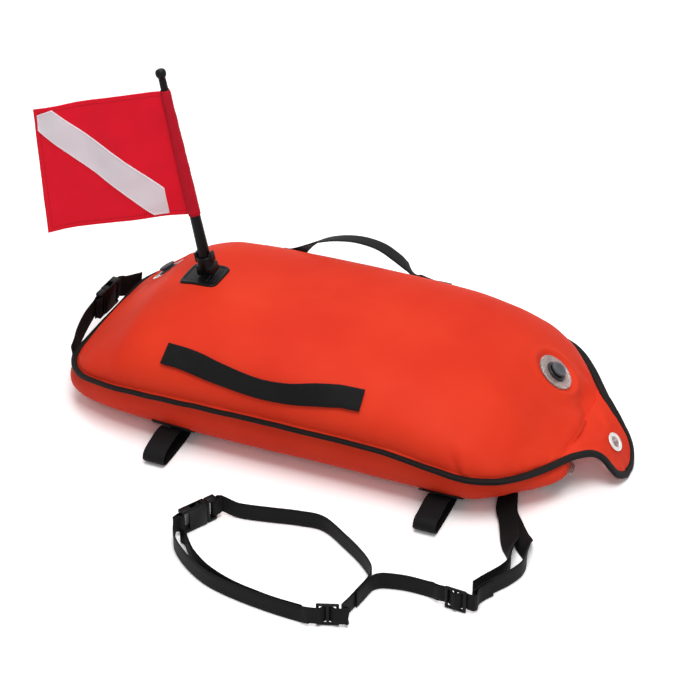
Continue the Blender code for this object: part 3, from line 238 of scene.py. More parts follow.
# Shares of the hull's length, half width and height at each station, from tail to nose, and the squareness
# of its sections: along, half width, seam height, crest height, keel height, above, below
STATIONS = np.array((
    (0.000, 0.519, 0.368, 0.368, 0.352, 2.00, 3.00), (0.005, 0.601, 0.368, 0.441, 0.176, 2.00, 3.20),
    (0.014, 0.683, 0.375, 0.495, 0.066, 2.00, 3.40), (0.030, 0.771, 0.382, 0.549, 0.015, 2.00, 3.50),
    (0.055, 0.846, 0.397, 0.643, 0.000, 2.05, 3.50), (0.090, 0.901, 0.419, 0.752, 0.000, 2.15, 3.40),
    (0.144, 0.956, 0.449, 0.912, 0.000, 2.40, 3.30), (0.210, 0.983, 0.471, 0.985, 0.000, 2.50, 3.30),
    (0.312, 0.997, 0.493, 0.996, 0.000, 2.50, 3.30), (0.505, 1.000, 0.504, 1.000, 0.000, 2.50, 3.40),
    (0.699, 1.000, 0.493, 0.967, 0.000, 2.50, 3.40), (0.787, 1.003, 0.449, 0.908, 0.000, 2.40, 3.20),
    (0.857, 0.990, 0.412, 0.816, 0.000, 2.20, 3.00), (0.907, 0.910, 0.393, 0.691, 0.022, 2.05, 2.70),
    (0.945, 0.765, 0.375, 0.566, 0.051, 2.00, 2.60), (0.974, 0.608, 0.368, 0.471, 0.081, 2.00, 2.70),
    (0.989, 0.515, 0.368, 0.419, 0.118, 2.00, 2.70), (1.000, 0.445, 0.368, 0.368, 0.352, 2.00, 2.50)))


def smooth_value(knots, values, at):
    """Monotone cubic through the knots, so that a profile never overshoots its stations."""
    at = min(max(at, knots[0]), knots[-1])
    i = min(max(int(np.searchsorted(knots, at)) - 1, 0), len(knots) - 2)
    steps = np.diff(knots)
    rates = np.diff(values) / steps

    def slope(k):
        if k == 0 or k == len(knots) - 1:
            return rates[min(k, len(rates) - 1)]
        before, after = rates[k - 1], rates[k]
        return 0.0 if before * after <= 0 else 2 * before * after / (before + after)

    t = (at - knots[i]) / steps[i]
    run = steps[i]
    return ((2 * t ** 3 - 3 * t ** 2 + 1) * values[i] + (t ** 3 - 2 * t ** 2 + t) * run * slope(i)
            + (3 * t ** 2 - 2 * t ** 3) * values[i + 1] + (t ** 3 - t ** 2) * run * slope(i + 1))


@lru_cache(maxsize=None)
def station(along):
    """Half width, heights of seam, crest and keel, and squareness above and below, along the hull."""
    half, seam, crest, keel, above, below = (smooth_value(STATIONS[:, 0], STATIONS[:, k], along)
                                             for k in range(1, 7))
    return half * HULL_HALF, seam * HULL_HEIGHT, crest * HULL_HEIGHT, keel * HULL_HEIGHT, above, below


def along_of(x):
    return (x - TAIL_X) / HULL_LENGTH


def end_swell(distance):
    """The lower cover swells past the seam near each end."""
    if distance >= END_SWELL_REACH:
        return 0.0
    return END_SWELL * math.sin(math.pi * math.sqrt(max(distance, 0.0) / END_SWELL_REACH))


def hull_point(along, turn, upper):
    """Point of a section; turn runs from -90 degrees at the near seam to 90 at the far one."""
    half, seam, crest, keel, above, below = station(along)
    power = 2.0 / (above if upper else below)
    side = math.copysign(abs(math.sin(turn)) ** power, turn) * half
    lift = abs(math.cos(turn)) ** power
    x = TAIL_X + HULL_LENGTH * along
    if upper:
        return Vector((x, side, seam + SEAM_GAP / 2 + max(crest - seam, 0.0) * lift))
    swell = 4 * lift * (1 - lift)
    side += math.copysign(SIDE_SWELL * swell, turn)
    x += (end_swell((1 - along) * HULL_LENGTH) - end_swell(along * HULL_LENGTH)) * swell
    return Vector((x, side, max(seam - SEAM_GAP / 2 - max(seam - keel, 0.0) * lift, 0.0)))


def hull_surface(x, y, upper):
    """The hull's point above or below a place in plan, found by a few Newton steps."""
    along = along_of(x)
    turn = math.asin(min(max(y / station(along)[0], -0.98), 0.98))
    step = 0.0005
    for _ in range(12):
        here = hull_point(along, turn, upper)
        by_along = (hull_point(along + step, turn, upper) - here) / step
        by_turn = (hull_point(along, turn + step, upper) - here) / step
        size = by_along.x * by_turn.y - by_turn.x * by_along.y
        off_x, off_y = x - here.x, y - here.y
        along += 0.8 * (off_x * by_turn.y - by_turn.x * off_y) / size
        turn += 0.8 * (by_along.x * off_y - off_x * by_along.y) / size
        along = min(max(along, 0.002), 0.998 - step)
        turn = min(max(turn, -1.55), 1.55)
    return hull_point(along, turn, upper)


def hull_skin(x, y, upper, probe=0.006):
    """Point of the hull's skin at a place in plan and the direction out of the hull there."""
    ahead = hull_surface(x + probe, y, upper) - hull_surface(x - probe, y, upper)
    across = hull_surface(x, y + probe, upper) - hull_surface(x, y - probe, upper)
    out = ahead.cross(across).normalized()
    return hull_surface(x, y, upper), out if upper else -out


def axis_frame(origin, along, ahead=(1, 0, 0)):
    """Frame with local Z on an axis and local X as near as it gets to a direction."""
    z_axis = Vector(along).normalized()
    x_axis = Vector(ahead)
    x_axis = (x_axis - z_axis * x_axis.dot(z_axis)).normalized()
    turned = Matrix((x_axis, z_axis.cross(x_axis), z_axis)).transposed().to_4x4()
    turned.translation = Vector(origin)
    return turned


def joint_frame(name):
    joint = next(joint for joint in frame["joints"] if joint["name"] == name)
    return axis_frame(joint["pos_m"], joint["axis"])


VALVES = {name: joint_frame(name + "_cap_turn") for name in ("tail", "nose", "under")}
POLE = joint_frame("pole_pull")


# Making and dressing pieces

def dress(obj, look, nodes=(), body="hull"):
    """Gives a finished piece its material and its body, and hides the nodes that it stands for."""
    obj.data.materials.clear()
    obj.data.materials.append(look)
    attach(obj, body)
    if nodes:
        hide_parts(*nodes)
    return obj


def piece(name, work, smooth=True, angle=None):
    """Object from a bmesh; edges past the angle, in degrees, stay sharp."""
    mesh = bpy.data.meshes.new(name)
    work.normal_update()
    work.to_mesh(mesh)
    work.free()
    if smooth:
        mesh.shade_smooth()
    if angle:
        mesh.set_sharp_from_angle(angle=math.radians(angle))
    return link(bpy.data.objects.new(name, mesh))


def grid_piece(work, rows, columns, place, lay=None):
    """Grid of faces laid on place(i, j); lay(i, j) is its map, run and width in metres."""
    bmesh.ops.create_grid(work, x_segments=rows, y_segments=columns, size=0.5)
    run = work.loops.layers.uv.new("run")
    marks = {vert: (round((vert.co.x + 0.5) * rows), round((vert.co.y + 0.5) * columns)) for vert in work.verts}
    for vert, mark in marks.items():
        vert.co = place(*mark)
    if lay:
        for face in work.faces:
            for corner in face.loops:
                corner[run].uv = lay(*marks[corner.vert])


def walled(cloth, thickness, offset=0.0):
    """Gives a sheet its thickness, on both sides of its face or, with an offset of -1, behind it."""
    wall = cloth.modifiers.new("wall", "SOLIDIFY")
    wall.thickness = thickness
    wall.offset = offset
    return cloth


def smooth_step(low, high, value):
    share = min(max((value - low) / (high - low), 0.0), 1.0)
    return share * share * (3 - 2 * share)


def ripple(point, scale, seed=0.0):
    """Smooth noise between about -1 and 1; scale is the size of its lumps in metres."""
    return noise.noise(Vector(point) / scale + Vector((seed, seed * 1.7, -seed)))


def lumps(point, *layers):
    """Ripples added up, each given by its height, size and seed."""
    return sum(height * ripple(point, size, seed) for height, size, seed in layers)


def near_line(point, start, end):
    """Distance from a line in metres and the share of the way along it."""
    start, end = Vector(start), Vector(end)
    way = end - start
    share = min(max((point - start).dot(way) / way.length_squared, 0.0), 1.0)
    return (point - start - way * share).length, share


# Covers

COVER_WALL = 0.0009
COVER_FLAP = 0.0030
COVER_GROUND = 0.0003
# Dimple of a valve: how deep its flange sinks, how high the rim stands and where the cloth is free again
UPPER_DIMPLE = (0.0007, 0.0017, 0.0320)
UNDER_DIMPLE = (0.0018, 0.0, 0.0420)
HELD_RADIUS = 0.0228
RIM_RADIUS = 0.0292
RIM_BREADTH = 0.0042
DIMPLE_REACH = 0.055
DIMPLE_HEIGHT = 0.030
DIMPLE_SLOPE = 0.16
PULL_DEPTHS = (0.006, 0.016)
SOFT_LUMPS = ((0.0013, 0.13, 1.0), (0.0005, 0.050, 4.0))
# Puckers: height, how far from the seam or the corner they reach, size and seed
SEAM_PUCKER = (0.0011, 0.011, 0.0085, 7.0)
CORNER_PUCKER = (0.0016, 0.030, 0.016, 2.0)
# Folds in the upper cover: ends, height (below zero is a crease) and breadth
UPPER_FOLDS = (
    ((0.196, -0.150, 0.052), (0.176, -0.142, 0.098), -0.0027, 0.0034),
    ((0.203, -0.146, 0.052), (0.190, -0.132, 0.098), 0.0020, 0.0060),
    ((0.236, -0.086, 0.060), (0.206, -0.060, 0.108), 0.0022, 0.0200),
    ((0.266, 0.012, 0.056), (0.252, -0.018, 0.088), -0.0022, 0.0085),
    ((0.270, 0.072, 0.056), (0.250, 0.084, 0.078), -0.0018, 0.0070),
    ((0.262, -0.050, 0.054), (0.250, -0.062, 0.074), -0.0012, 0.0060),
    ((-0.272, -0.090, 0.054), (-0.238, -0.104, 0.082), -0.0016, 0.0070),
    ((-0.276, 0.030, 0.056), (-0.262, 0.022, 0.080), -0.0018, 0.0075),
    ((-0.270, 0.092, 0.054), (-0.236, 0.104, 0.084), -0.0016, 0.0070),
    ((0.281, -0.044, 0.055), (0.281, 0.014, 0.055), 0.0042, 0.0100),
    ((0.279, 0.012, 0.060), (0.275, 0.066, 0.061), -0.0052, 0.0120),
    ((0.268, -0.010, 0.079), (0.262, 0.064, 0.082), 0.0034, 0.0100))


def cover_rows(count):
    """Shares of the hull's length, closer together towards both ends."""
    return [round(0.45 * t + 0.275 * (1 - math.cos(math.pi * t)), 5) for t in np.linspace(0, 1, count + 1)]


def dimpled(point, placed, sunk, rim, end):
    """A valve's welded flange holds the cloth in a flat-bottomed dimple, with a soft rim or none."""
    local = placed.inverted() @ point
    reach = math.hypot(local.x, local.y)
    if reach > DIMPLE_REACH or abs(local.z) > DIMPLE_HEIGHT:
        return point
    held = (1 - smooth_step(HELD_RADIUS, end, reach)) * (1 - smooth_step(*PULL_DEPTHS, -local.z))
    local.z = local.z * (1 - held) - sunk * held + rim * math.exp(-((reach - RIM_RADIUS) / RIM_BREADTH) ** 2)
    if not rim:
        local.z = min(local.z, DIMPLE_SLOPE * max(reach - HELD_RADIUS, 0.0) - sunk)
    return placed @ local


def cloth_relief(point, upper, edge, corner):
    """How far the inflated cloth stands off its fair form; edge and corner are the distances from them."""
    height, reach, size, seed = SEAM_PUCKER
    pucker = height * math.exp(-edge / reach) * ripple((point.x, point.y, 0), size, seed)
    height, reach, size, seed = CORNER_PUCKER
    spot = (point.x, point.y, point.z * 0.2)
    pucker += height * math.exp(-(corner + edge) / reach) * ripple(spot, size, seed)
    relief = lumps(point, *SOFT_LUMPS) * smooth_step(0.004, 0.05, edge) + pucker * smooth_step(0.0, 0.004, edge)
    if upper:
        for start, end, depth, breadth in UPPER_FOLDS:
            off, share = near_line(point, start, end)
            fade = math.sin(math.pi * min(max(share, 0.02), 0.98)) ** 0.6
            relief += depth * fade * math.exp(-(off / breadth) ** 2)
    return relief


def shaped_cloth(upper, rows, columns):
    """The cover's points: the hull's form with its relief and the dimples of its valves."""
    base = [[hull_point(along, (k / columns - 0.5) * math.pi, upper) for k in range(columns + 1)]
            for along in cover_rows(rows)]
    valves = [VALVES["tail"], VALVES["nose"]] if upper else [VALVES["under"]]
    sign = 1 if upper else -1
    shaped = []
    for i in range(rows + 1):
        line = []
        for j in range(columns + 1):
            here = base[i][j]
            ahead = base[min(i + 1, rows)][j] - base[max(i - 1, 0)][j]
            across = base[i][min(j + 1, columns)] - base[i][max(j - 1, 0)]
            out = ahead.cross(across)
            out = out.normalized() * sign if out.length > 1e-12 else Vector((0, 0, sign))
            edge = min((here - base[i][0]).length, (here - base[i][columns]).length,
                       (here - base[0][j]).length, (here - base[rows][j]).length)
            corner = min((here - base[row][column]).length for row in (0, rows) for column in (0, columns))
            moved = here + out * cloth_relief(here, upper, edge, corner)
            for placed in valves:
                moved = dimpled(moved, placed, *(UPPER_DIMPLE if upper else UNDER_DIMPLE))
            if not upper:
                moved.z = max(moved.z, COVER_GROUND)
            line.append(moved)
        shaped.append(line)
    return shaped


def make_cover(name, node, shaped, upper):
    """Inflated cover; a flap all round it runs on into the binding tape."""
    rows, columns = len(shaped) - 1, len(shaped[0]) - 1
    sign = 1 if upper else -1

    def place(i, j):
        row, column = min(max(i - 1, 0), rows), min(max(j - 1, 0), columns)
        here = shaped[row][column]
        push = Vector((0, 0, 0))
        if i == 0 or i == rows + 2:
            push.x = 1 if i else -1
        if j == 0 or j == columns + 2:
            ahead = shaped[min(row + 1, rows)][column] - shaped[max(row - 1, 0)][column]
            side = 1 if j else -1
            push += Vector((-ahead.y * side, ahead.x * side, 0)).normalized()
        if push.length:
            here = here + push.normalized() * COVER_FLAP - Vector((0, 0, sign * FIT))
        return here

    work = bmesh.new()
    grid_piece(work, rows + 2, columns + 2, place)
    if not upper:
        bmesh.ops.reverse_faces(work, faces=work.faces)
    dress(walled(piece(name, work), COVER_WALL, -1.0), NYLON, [node])


BLADDER_DEPTH = 0.0024
BLADDER_EVERY = 3


def make_bladder(name, node, shaped, upper):
    """Air chamber pressed into the folds of its cover, closed by a flat web at the seam."""
    rows, columns = len(shaped) - 1, len(shaped[0]) - 1
    ends = rows // 14
    picked = list(range(ends, rows - ends + 1, BLADDER_EVERY))

    def place(i, j):
        row, column = picked[i], min(j * BLADDER_EVERY, columns)
        ahead = shaped[min(row + 2, rows)][column] - shaped[max(row - 2, 0)][column]
        across = shaped[row][min(column + 2, columns)] - shaped[row][max(column - 2, 0)]
        out = ahead.cross(across).normalized() * (1 if upper else -1)
        return shaped[row][column] - out * BLADDER_DEPTH

    work = bmesh.new()
    grid_piece(work, len(picked) - 1, columns // BLADDER_EVERY, place)
    bmesh.ops.holes_fill(work, edges=[edge for edge in work.edges if edge.is_boundary], sides=0)
    bmesh.ops.recalc_face_normals(work, faces=work.faces)
    dress(piece(name, work, angle=50), BLADDER_LOOK, [node])


for half, label, rows, columns in (("top", "upper", 230, 150), ("bottom", "lower", 200, 120)):
    cloth = shaped_cloth(half == "top", rows, columns)
    make_cover("cover_" + half + "_cloth", "cover_" + half, cloth, half == "top")
    make_bladder(label + "_bladder_film", label + "_bladder", cloth, half == "top")


# Tow tab

TAB_SIDE = np.array(((0.0, 0.0620), (0.08, 0.0570), (0.18, 0.0500), (0.37, 0.0375), (0.59, 0.0295),
                     (0.81, 0.0255), (0.91, 0.0205), (0.97, 0.0140), (1.0, 0.0085)))
TAB_DROP = np.array(((0.0, 0.000), (0.25, 0.0008), (0.45, 0.0045), (0.60, 0.0110), (0.75, 0.0205),
                     (0.88, 0.0305), (1.0, 0.0400)))
TAB_ROOT = Vector((NOSE_X + FIT * 2, 0.0, station(1.0)[1]))
TAB_REACH = 0.060
TAB_LENGTH = 0.068
TAB_THICKNESS = 0.0024
TAB_LAP = 0.0018
TAB_HOLE = 0.0082
TAB_LUMPS = ((0.0016, 0.026, 3.0), (0.0007, 0.011, 5.0))
# Pull from each of the hull's corners to the grommet: ends on the far side, height and breadth
TAB_PULL = ((0.286, 0.040, 0.050), (0.312, 0.006, 0.041), 0.0020, 0.0055)
GROMMET_AT = 0.645


def tab_point(along, y):
    """The tab leaves the nose level and droops under its own weight."""
    reach = TAB_REACH * (along - 0.12 * along ** 3)
    return TAB_ROOT + Vector((reach, y, -smooth_value(TAB_DROP[:, 0], TAB_DROP[:, 1], along)))


def tab_ahead(along):
    return (tab_point(min(along + 0.02, 1.0), 0) - tab_point(max(along - 0.02, 0.0), 0)).normalized()


def tab_normal(along):
    ahead = tab_ahead(along)
    return Vector((-ahead.z, 0.0, ahead.x))


def tab_half(along):
    return smooth_value(TAB_SIDE[:, 0], TAB_SIDE[:, 1], along)


GROMMET = axis_frame(tab_point(GROMMET_AT, 0), tab_normal(GROMMET_AT))


def tab_relief(point, u, v):
    """Soft lumps in the doubled cloth and pulls from the hull's corners, flat at the eyelet and the edges."""
    relief = lumps(point, *TAB_LUMPS)
    start, end, height, breadth = TAB_PULL
    for side in (-1, 1):
        off = near_line(point, *((x, side * y, z) for x, y, z in (start, end)))[0]
        relief += height * math.exp(-(off / breadth) ** 2)
    relief *= smooth_step(0.012, 0.020, (point - GROMMET.translation).length)
    return relief * smooth_step(0.02, 0.25, min(v, 1 - v) * 2) * smooth_step(0.0, 0.15, u)


def make_tab():
    rows, columns = 64, 72

    def place(i, j):
        u, v = i / rows, j / columns
        here = tab_point(u, (2 * v - 1) * (tab_half(u) + TAB_LAP))
        return here + tab_normal(u) * tab_relief(here, u, v)

    work = bmesh.new()
    grid_piece(work, rows, columns, place)
    hole = [face for face in work.faces if (face.calc_center_median() - GROMMET.translation).length < TAB_HOLE]
    bmesh.ops.delete(work, geom=hole, context="FACES")
    dress(walled(piece("tow_tab_cloth", work), TAB_THICKNESS), NYLON, ["tow_tab"])


make_tab()


# Straps: sections, seams and stitches

WEBBING = 0.0016
WEBBING_WIDTH = 0.025
NARROW_WIDTH = 0.020
STITCH_LIFT = WEBBING / 2 + 0.0001
STITCH_PITCH = 0.0034
STITCH_WIDTH = 0.0008
HULL_MIDDLE = Vector((0.0, 0.0, 0.060))
# A strap at one place: the run up to it, the place, and the directions of its run, its width and its face
StrapFrame = namedtuple("StrapFrame", "mark spot ahead across face")


def through(points, step, closed=False):
    """Even samples of a smooth curve through the points, and the run at each of them."""
    points = np.array(points, dtype=float)
    # places to a tenth of a millimetre, directions to two digits
    points = np.hstack([points[:, :3].round(4), points[:, 3:].round(2)])
    last = len(points) if closed else len(points) - 1
    dense = []
    for i in range(last):
        if closed:
            a, b, c, d = (points[(i + k) % len(points)] for k in (-1, 0, 1, 2))
        else:
            a, b, c, d = (points[min(max(i + k, 0), last)] for k in (-1, 0, 1, 2))
        for t in np.linspace(0, 1, 24, endpoint=False):
            dense.append(0.5 * (2 * b + (c - a) * t + (2 * a - 5 * b + 4 * c - d) * t ** 2
                                + (3 * b - a - 3 * c + d) * t ** 3))
    dense.append(points[0] if closed else points[-1])
    dense = np.array(dense)
    run = np.concatenate([[0], np.cumsum(np.linalg.norm(np.diff(dense[:, :3], axis=0), axis=1))])
    marks = np.linspace(0, run[-1], max(int(run[-1] / step), 8) + 1)
    picked = np.stack([np.interp(marks, run, dense[:, k]) for k in range(dense.shape[1])], axis=1)
    return picked, marks


def strap_frames(route, step, closed=False):
    """Frames along a route, whose points are a place followed by the direction of the strap's width."""
    samples, marks = through(route, step, closed)
    count = len(samples)
    frames = []
    for i, sample in enumerate(samples):
        if closed:
            before, after = samples[(i - 1) % (count - 1)], samples[(i + 1) % (count - 1)]
        else:
            before, after = samples[max(i - 1, 0)], samples[min(i + 1, count - 1)]
        ahead = Vector(after[:3] - before[:3]).normalized()
        across = Vector(sample[3:])
        across = (across - ahead * across.dot(ahead)).normalized()
        frames.append(StrapFrame(marks[i], Vector(sample[:3]), ahead, across, ahead.cross(across)))
    return frames


def swept(name, frames, section, closed=False):
    """Section of (width, face, map) carried along the frames, closed round and capped at its ends."""
    around = len(section)
    widths = [part[2] for part in section] + [section[-1][2] + 0.001]

    def place(i, j):
        wide, deep = section[j % around][:2]
        return frames[i].spot + frames[i].across * wide + frames[i].face * deep

    work = bmesh.new()
    grid_piece(work, len(frames) - 1, around, place, lambda i, j: (frames[i].mark, widths[j]))
    bmesh.ops.remove_doubles(work, verts=work.verts, dist=0.000002)
    if not closed:
        bmesh.ops.holes_fill(work, edges=[edge for edge in work.edges if edge.is_boundary], sides=0)
    bmesh.ops.recalc_face_normals(work, faces=work.faces)
    return piece(name, work, angle=50)


def strap_section(width, thickness):
    """Flat webbing with thin woven edges."""
    top = [(a * width / 2, (0.40 if abs(a) == 1 else 1.0) * thickness / 2, (a + 1) * width / 2)
           for a in (-1, -0.93, -0.5, 0, 0.5, 0.93, 1)]
    return top + [(a, -b, c) for a, b, c in reversed(top)]


def strap(name, route, node, width=WEBBING_WIDTH, step=0.0024):
    """Webbing along its route; gives the piece and its frames."""
    frames = strap_frames(route, step)
    made = swept(name, frames, strap_section(width, WEBBING))
    return dress(made, WEBBING_LOOK, [node]), frames


def on_strap(frames, mark, wide, lift):
    """Frame on a strap's surface at a run along it, moved across its width and off its face."""
    i = min(int(np.searchsorted([here.mark for here in frames], mark)), len(frames) - 1)
    here, before = frames[i], frames[max(i - 1, 0)]
    share = (mark - before.mark) / max(here.mark - before.mark, 1e-9) if i else 0.0
    spot = before.spot.lerp(here.spot, min(max(share, 0.0), 1.0))
    return here._replace(spot=spot + here.across * wide + here.face * lift)


def outward(frames, mark):
    """Lift of the stitches on the face that looks away from the hull's middle."""
    here = on_strap(frames, mark, 0.0, 0.0)
    return math.copysign(STITCH_LIFT, here.face.dot(here.spot - HULL_MIDDLE))


def bead(work, spot, ahead, up, long, wide):
    """One stitch lying on the cloth."""
    side = up.cross(ahead).normalized()
    turned = Matrix((ahead * long, side * wide, up * wide * 0.8)).transposed().to_4x4()
    turned.translation = spot
    bmesh.ops.create_icosphere(work, subdivisions=1, radius=0.5, matrix=turned)


def sew_line(work, frames, start, end, lift):
    """Stitches on a strap between two places given as (run, width)."""
    run, width = end[0] - start[0], end[1] - start[1]
    count = max(int(math.hypot(run, width) / STITCH_PITCH), 1)
    for k in range(count):
        share = (k + 0.5) / count
        here = on_strap(frames, start[0] + run * share, start[1] + width * share, lift)
        way = (here.ahead * run + here.across * width).normalized()
        bead(work, here.spot, way, here.face if lift > 0 else -here.face, STITCH_PITCH * 0.78, STITCH_WIDTH)


def sew_box(work, frames, first, last, half, lift, cross=True):
    """Box of stitches, with or without its diagonals."""
    corners = [(first, -half), (last, -half), (last, half), (first, half)]
    lines = list(zip(corners, corners[1:] + corners[:1]))
    if cross:
        lines += [(corners[0], corners[2]), (corners[1], corners[3])]
    for start, end in lines:
        sew_line(work, frames, start, end, lift)


def stitching(name, sew):
    work = bmesh.new()
    sew(work)
    dress(piece(name, work), THREAD, ())


# Carry handles

HANDLE_START = TAIL_X + HULL_LENGTH * 0.23415
HANDLE_SPAN = HULL_LENGTH * (0.64261 - 0.23415)
HANDLE_LIFT = WEBBING / 2 + FIT + 0.0012
NEAR_SLACK = 0.0135
FAR_RISE = 0.0500
# Side, height as a share of the hull's, and the free middle: share of the length, stand-off, rise, tilt
HANDLES = {
    "near": (-1, 0.7941, (
        (0.18, NEAR_SLACK * 0.22, 0.0, 50), (0.30, NEAR_SLACK * 0.66, -0.001, 72),
        (0.50, NEAR_SLACK, -0.004, 86), (0.66, NEAR_SLACK * 0.92, -0.003, 84),
        (0.79, NEAR_SLACK * 0.50, 0.0, 66), (0.86, NEAR_SLACK * 0.18, 0.0, 50))),
    "far": (1, 0.6471, (
        (0.14, -0.002, FAR_RISE * 0.10, 70), (0.20, -0.006, FAR_RISE * 0.36, 40),
        (0.29, -0.010, FAR_RISE * 0.68, 20), (0.40, -0.012, FAR_RISE * 0.90, 14), (0.52, -0.013, FAR_RISE, 12),
        (0.63, -0.012, FAR_RISE * 0.93, 12), (0.71, -0.010, FAR_RISE * 0.72, 14),
        (0.765, -0.005, FAR_RISE * 0.46, 25), (0.81, 0.0002, FAR_RISE * 0.18, 56)))}


def side_point(share, level, side):
    """Point of a handle off the upper hull's side, and the direction up the cloth there."""
    x, height = HANDLE_START + HANDLE_SPAN * share, HULL_HEIGHT * level
    half, seam, crest, keel, square = station(along_of(x))[:5]
    rise = min(max((height - seam) / (crest - seam), 0.0), 0.999)
    y = side * half * (1 - rise ** square) ** (1 / square)
    out = hull_skin(x, y, True)[1]
    return Vector((x, y, height)) + out * HANDLE_LIFT, Vector((0, -side * out.z, side * out.y)).normalized()


def handle_route(side, level, middle):
    """Sewn flat at both ends, free in the middle, where the width tilts by degrees from level."""
    def sewn(share):
        spot, up = side_point(share, level, side)
        return [*spot, *up]

    def free(share, off, rise, tilt):
        spot = side_point(share, level, side)[0] + Vector((0, side * off, rise))
        return [*spot, 0, -side * math.cos(math.radians(tilt)), math.sin(math.radians(tilt))]
    return ([sewn(share) for share in (0.0, 0.05, 0.10)] + [free(*point) for point in middle]
            + [sewn(share) for share in (0.90, 0.95, 1.0)])


handle_frames = [strap(side + "_handle_webbing", handle_route(*HANDLES[side]), "handle_" + side)[1]
                 for side in ("near", "far")]


def sew_handles(work):
    for frames in handle_frames:
        total, lift = frames[-1].mark, outward(frames, 0.0)
        sew_box(work, frames, 0.003, 0.024, 0.0100, lift)
        sew_box(work, frames, total - 0.024, total - 0.003, 0.0100, lift)


stitching("handle_stitches", sew_handles)


# Gear loops under the near side

LOOP_X = {"tail": TAIL_X + HULL_LENGTH * 0.25176, "nose": TAIL_X + HULL_LENGTH * 0.80634}
LOOP_REACH = 0.047


def gear_loop_route(x):
    """Ring of webbing sewn to a patch on the lower cover and lying out on the ground."""
    lift = 0.0008 + FIT * 2 + WEBBING * 0.95
    top, foot = (spot + out * lift for spot, out in (hull_skin(x, -HULL_HALF * share, False)
                                                     for share in (0.93, 0.77)))
    floor = WEBBING / 2 + FIT
    reach = top.y - LOOP_REACH
    free = ((reach + 0.018, top.z - 0.0005), (reach + 0.004, 0.0155), (reach, 0.0080), (reach + 0.005, 0.0022),
            (reach + 0.014, floor), (reach + 0.030, floor), (foot.y - 0.012, floor + 0.0012))
    ring = [top, top + Vector((0, -0.010, 0.0022))] + [(x, y, z) for y, z in free] + [foot]
    return [[*spot, 1, 0, 0] for spot in ring]


def make_patch(label):
    """Backing patch of a gear loop, lying on the lower cover."""
    work = bmesh.new()
    work.from_mesh(frame["nodes"][label + "_gear_loop_patch"].data)
    bmesh.ops.remove_doubles(work, verts=work.verts, dist=0.00001)
    bmesh.ops.subdivide_edges(work, edges=work.edges[:], cuts=2, use_grid_fill=True)
    run = work.loops.layers.uv.new("run")
    for face in work.faces:
        for corner in face.loops:
            corner[run].uv = corner.vert.co.xy
    made = piece(label + "_loop_patch_webbing", work, angle=40)
    dress(made, WEBBING_LOOK, [label + "_gear_loop_patch"])


loop_frames = []
for label in ("tail", "nose"):
    node = label + "_gear_loop"
    loop_frames.append(strap(node + "_webbing", gear_loop_route(LOOP_X[label]), node)[1])
    make_patch(label)


# Tail strap, sewn to the seam at both tail corners and closed by a buckle

BINDING_WIDTH = 0.0066
BUCKLE_BAR = 0.0034
PLUG_BAR_X = -FIT - 0.0120 + BUCKLE_BAR / 2
SOCKET_BAR_X = 0.0225 + 0.0052 + BUCKLE_BAR / 2
TAIL_OUT = TAIL_X - BINDING_WIDTH
TAIL_HALF = station(0.0)[0] + BINDING_WIDTH
TAIL_SEAM = station(0.0)[1]
TAIL_BUCKLE = axis_frame((TAIL_OUT - 0.0085, 0.0050, TAIL_SEAM + 0.01445),
                         (-1.0, 0.01, 0.10), (0.01, 1.0, -0.03))
# Places of each half between its buckle and the hull: outwards of the tail, across and up from the seam
TAIL_STRAP_NEAR = ((-0.0085, -0.038, 0.0120), (-0.0065, -0.060, 0.0050), (-0.0030, 0.008 - TAIL_HALF, 0.0005),
                   (-0.0010, -0.002 - TAIL_HALF, -0.0020))
TAIL_STRAP_FAR = ((-0.0070, 0.056, 0.0070), (-0.0034, TAIL_HALF - 0.006, 0.0),
                  (-0.0010, TAIL_HALF + 0.0025, -0.0020))


def bar_fold(placed, bar_x, towards, tuck=-1):
    """Webbing doubled round a buckle's bar; the first point is the tucked end, the last leaves the bar."""
    wrap = BUCKLE_BAR / 2 + FIT + WEBBING / 2 + 0.0002
    ply = WEBBING / 2 + FIT
    width = placed.to_3x3() @ Vector((0, 1, 0))
    half = [(0.7071 * wrap, 0.7071 * wrap), (0.0, wrap), (-0.0045, wrap * 0.86), (-0.010, ply * 1.15)]
    shape = [(x, -z) for x, z in reversed(half)] + [(wrap, 0.0)] + half
    return [[*(placed @ Vector((bar_x - towards * x, 0, -tuck * z))), *width] for x, z in shape]


def tail_strap(node, bar_x, towards, places):
    route = bar_fold(TAIL_BUCKLE, bar_x, towards)
    route += [[TAIL_OUT + x, y, TAIL_SEAM + z, 0, 0, -1] for x, y, z in places]
    return strap(node + "_webbing", route, node)[1]


tail_frames = [tail_strap("tail_strap_near", PLUG_BAR_X, -1, TAIL_STRAP_NEAR),
               tail_strap("tail_strap_far", SOCKET_BAR_X, 1, TAIL_STRAP_FAR)]


def sew_straps(work):
    """Boxes where the tail strap's folds are sewn down by its buckle and across the ends of the gear loops."""
    for frames in tail_frames:
        for lift in (STITCH_LIFT, -STITCH_LIFT):
            sew_box(work, frames, 0.003, 0.015, 0.0100, lift)
    for frames in loop_frames:
        total = frames[-1].mark
        for first, last in ((0.003, 0.012), (total - 0.012, total - 0.003)):
            for lift in (STITCH_LIFT, -STITCH_LIFT):
                sew_box(work, frames, first, last, 0.0100, lift, cross=False)


stitching("strap_stitches", sew_straps)


# Binding tape round the seam and the tow tab

BINDING_OUT = BINDING_WIDTH / 2 + 0.0011
BINDING_HALF = 0.0034
BINDING_DEPTH = 0.0018
BINDING_MAP_STEP = 0.0013
BINDING_STITCH = 0.0040
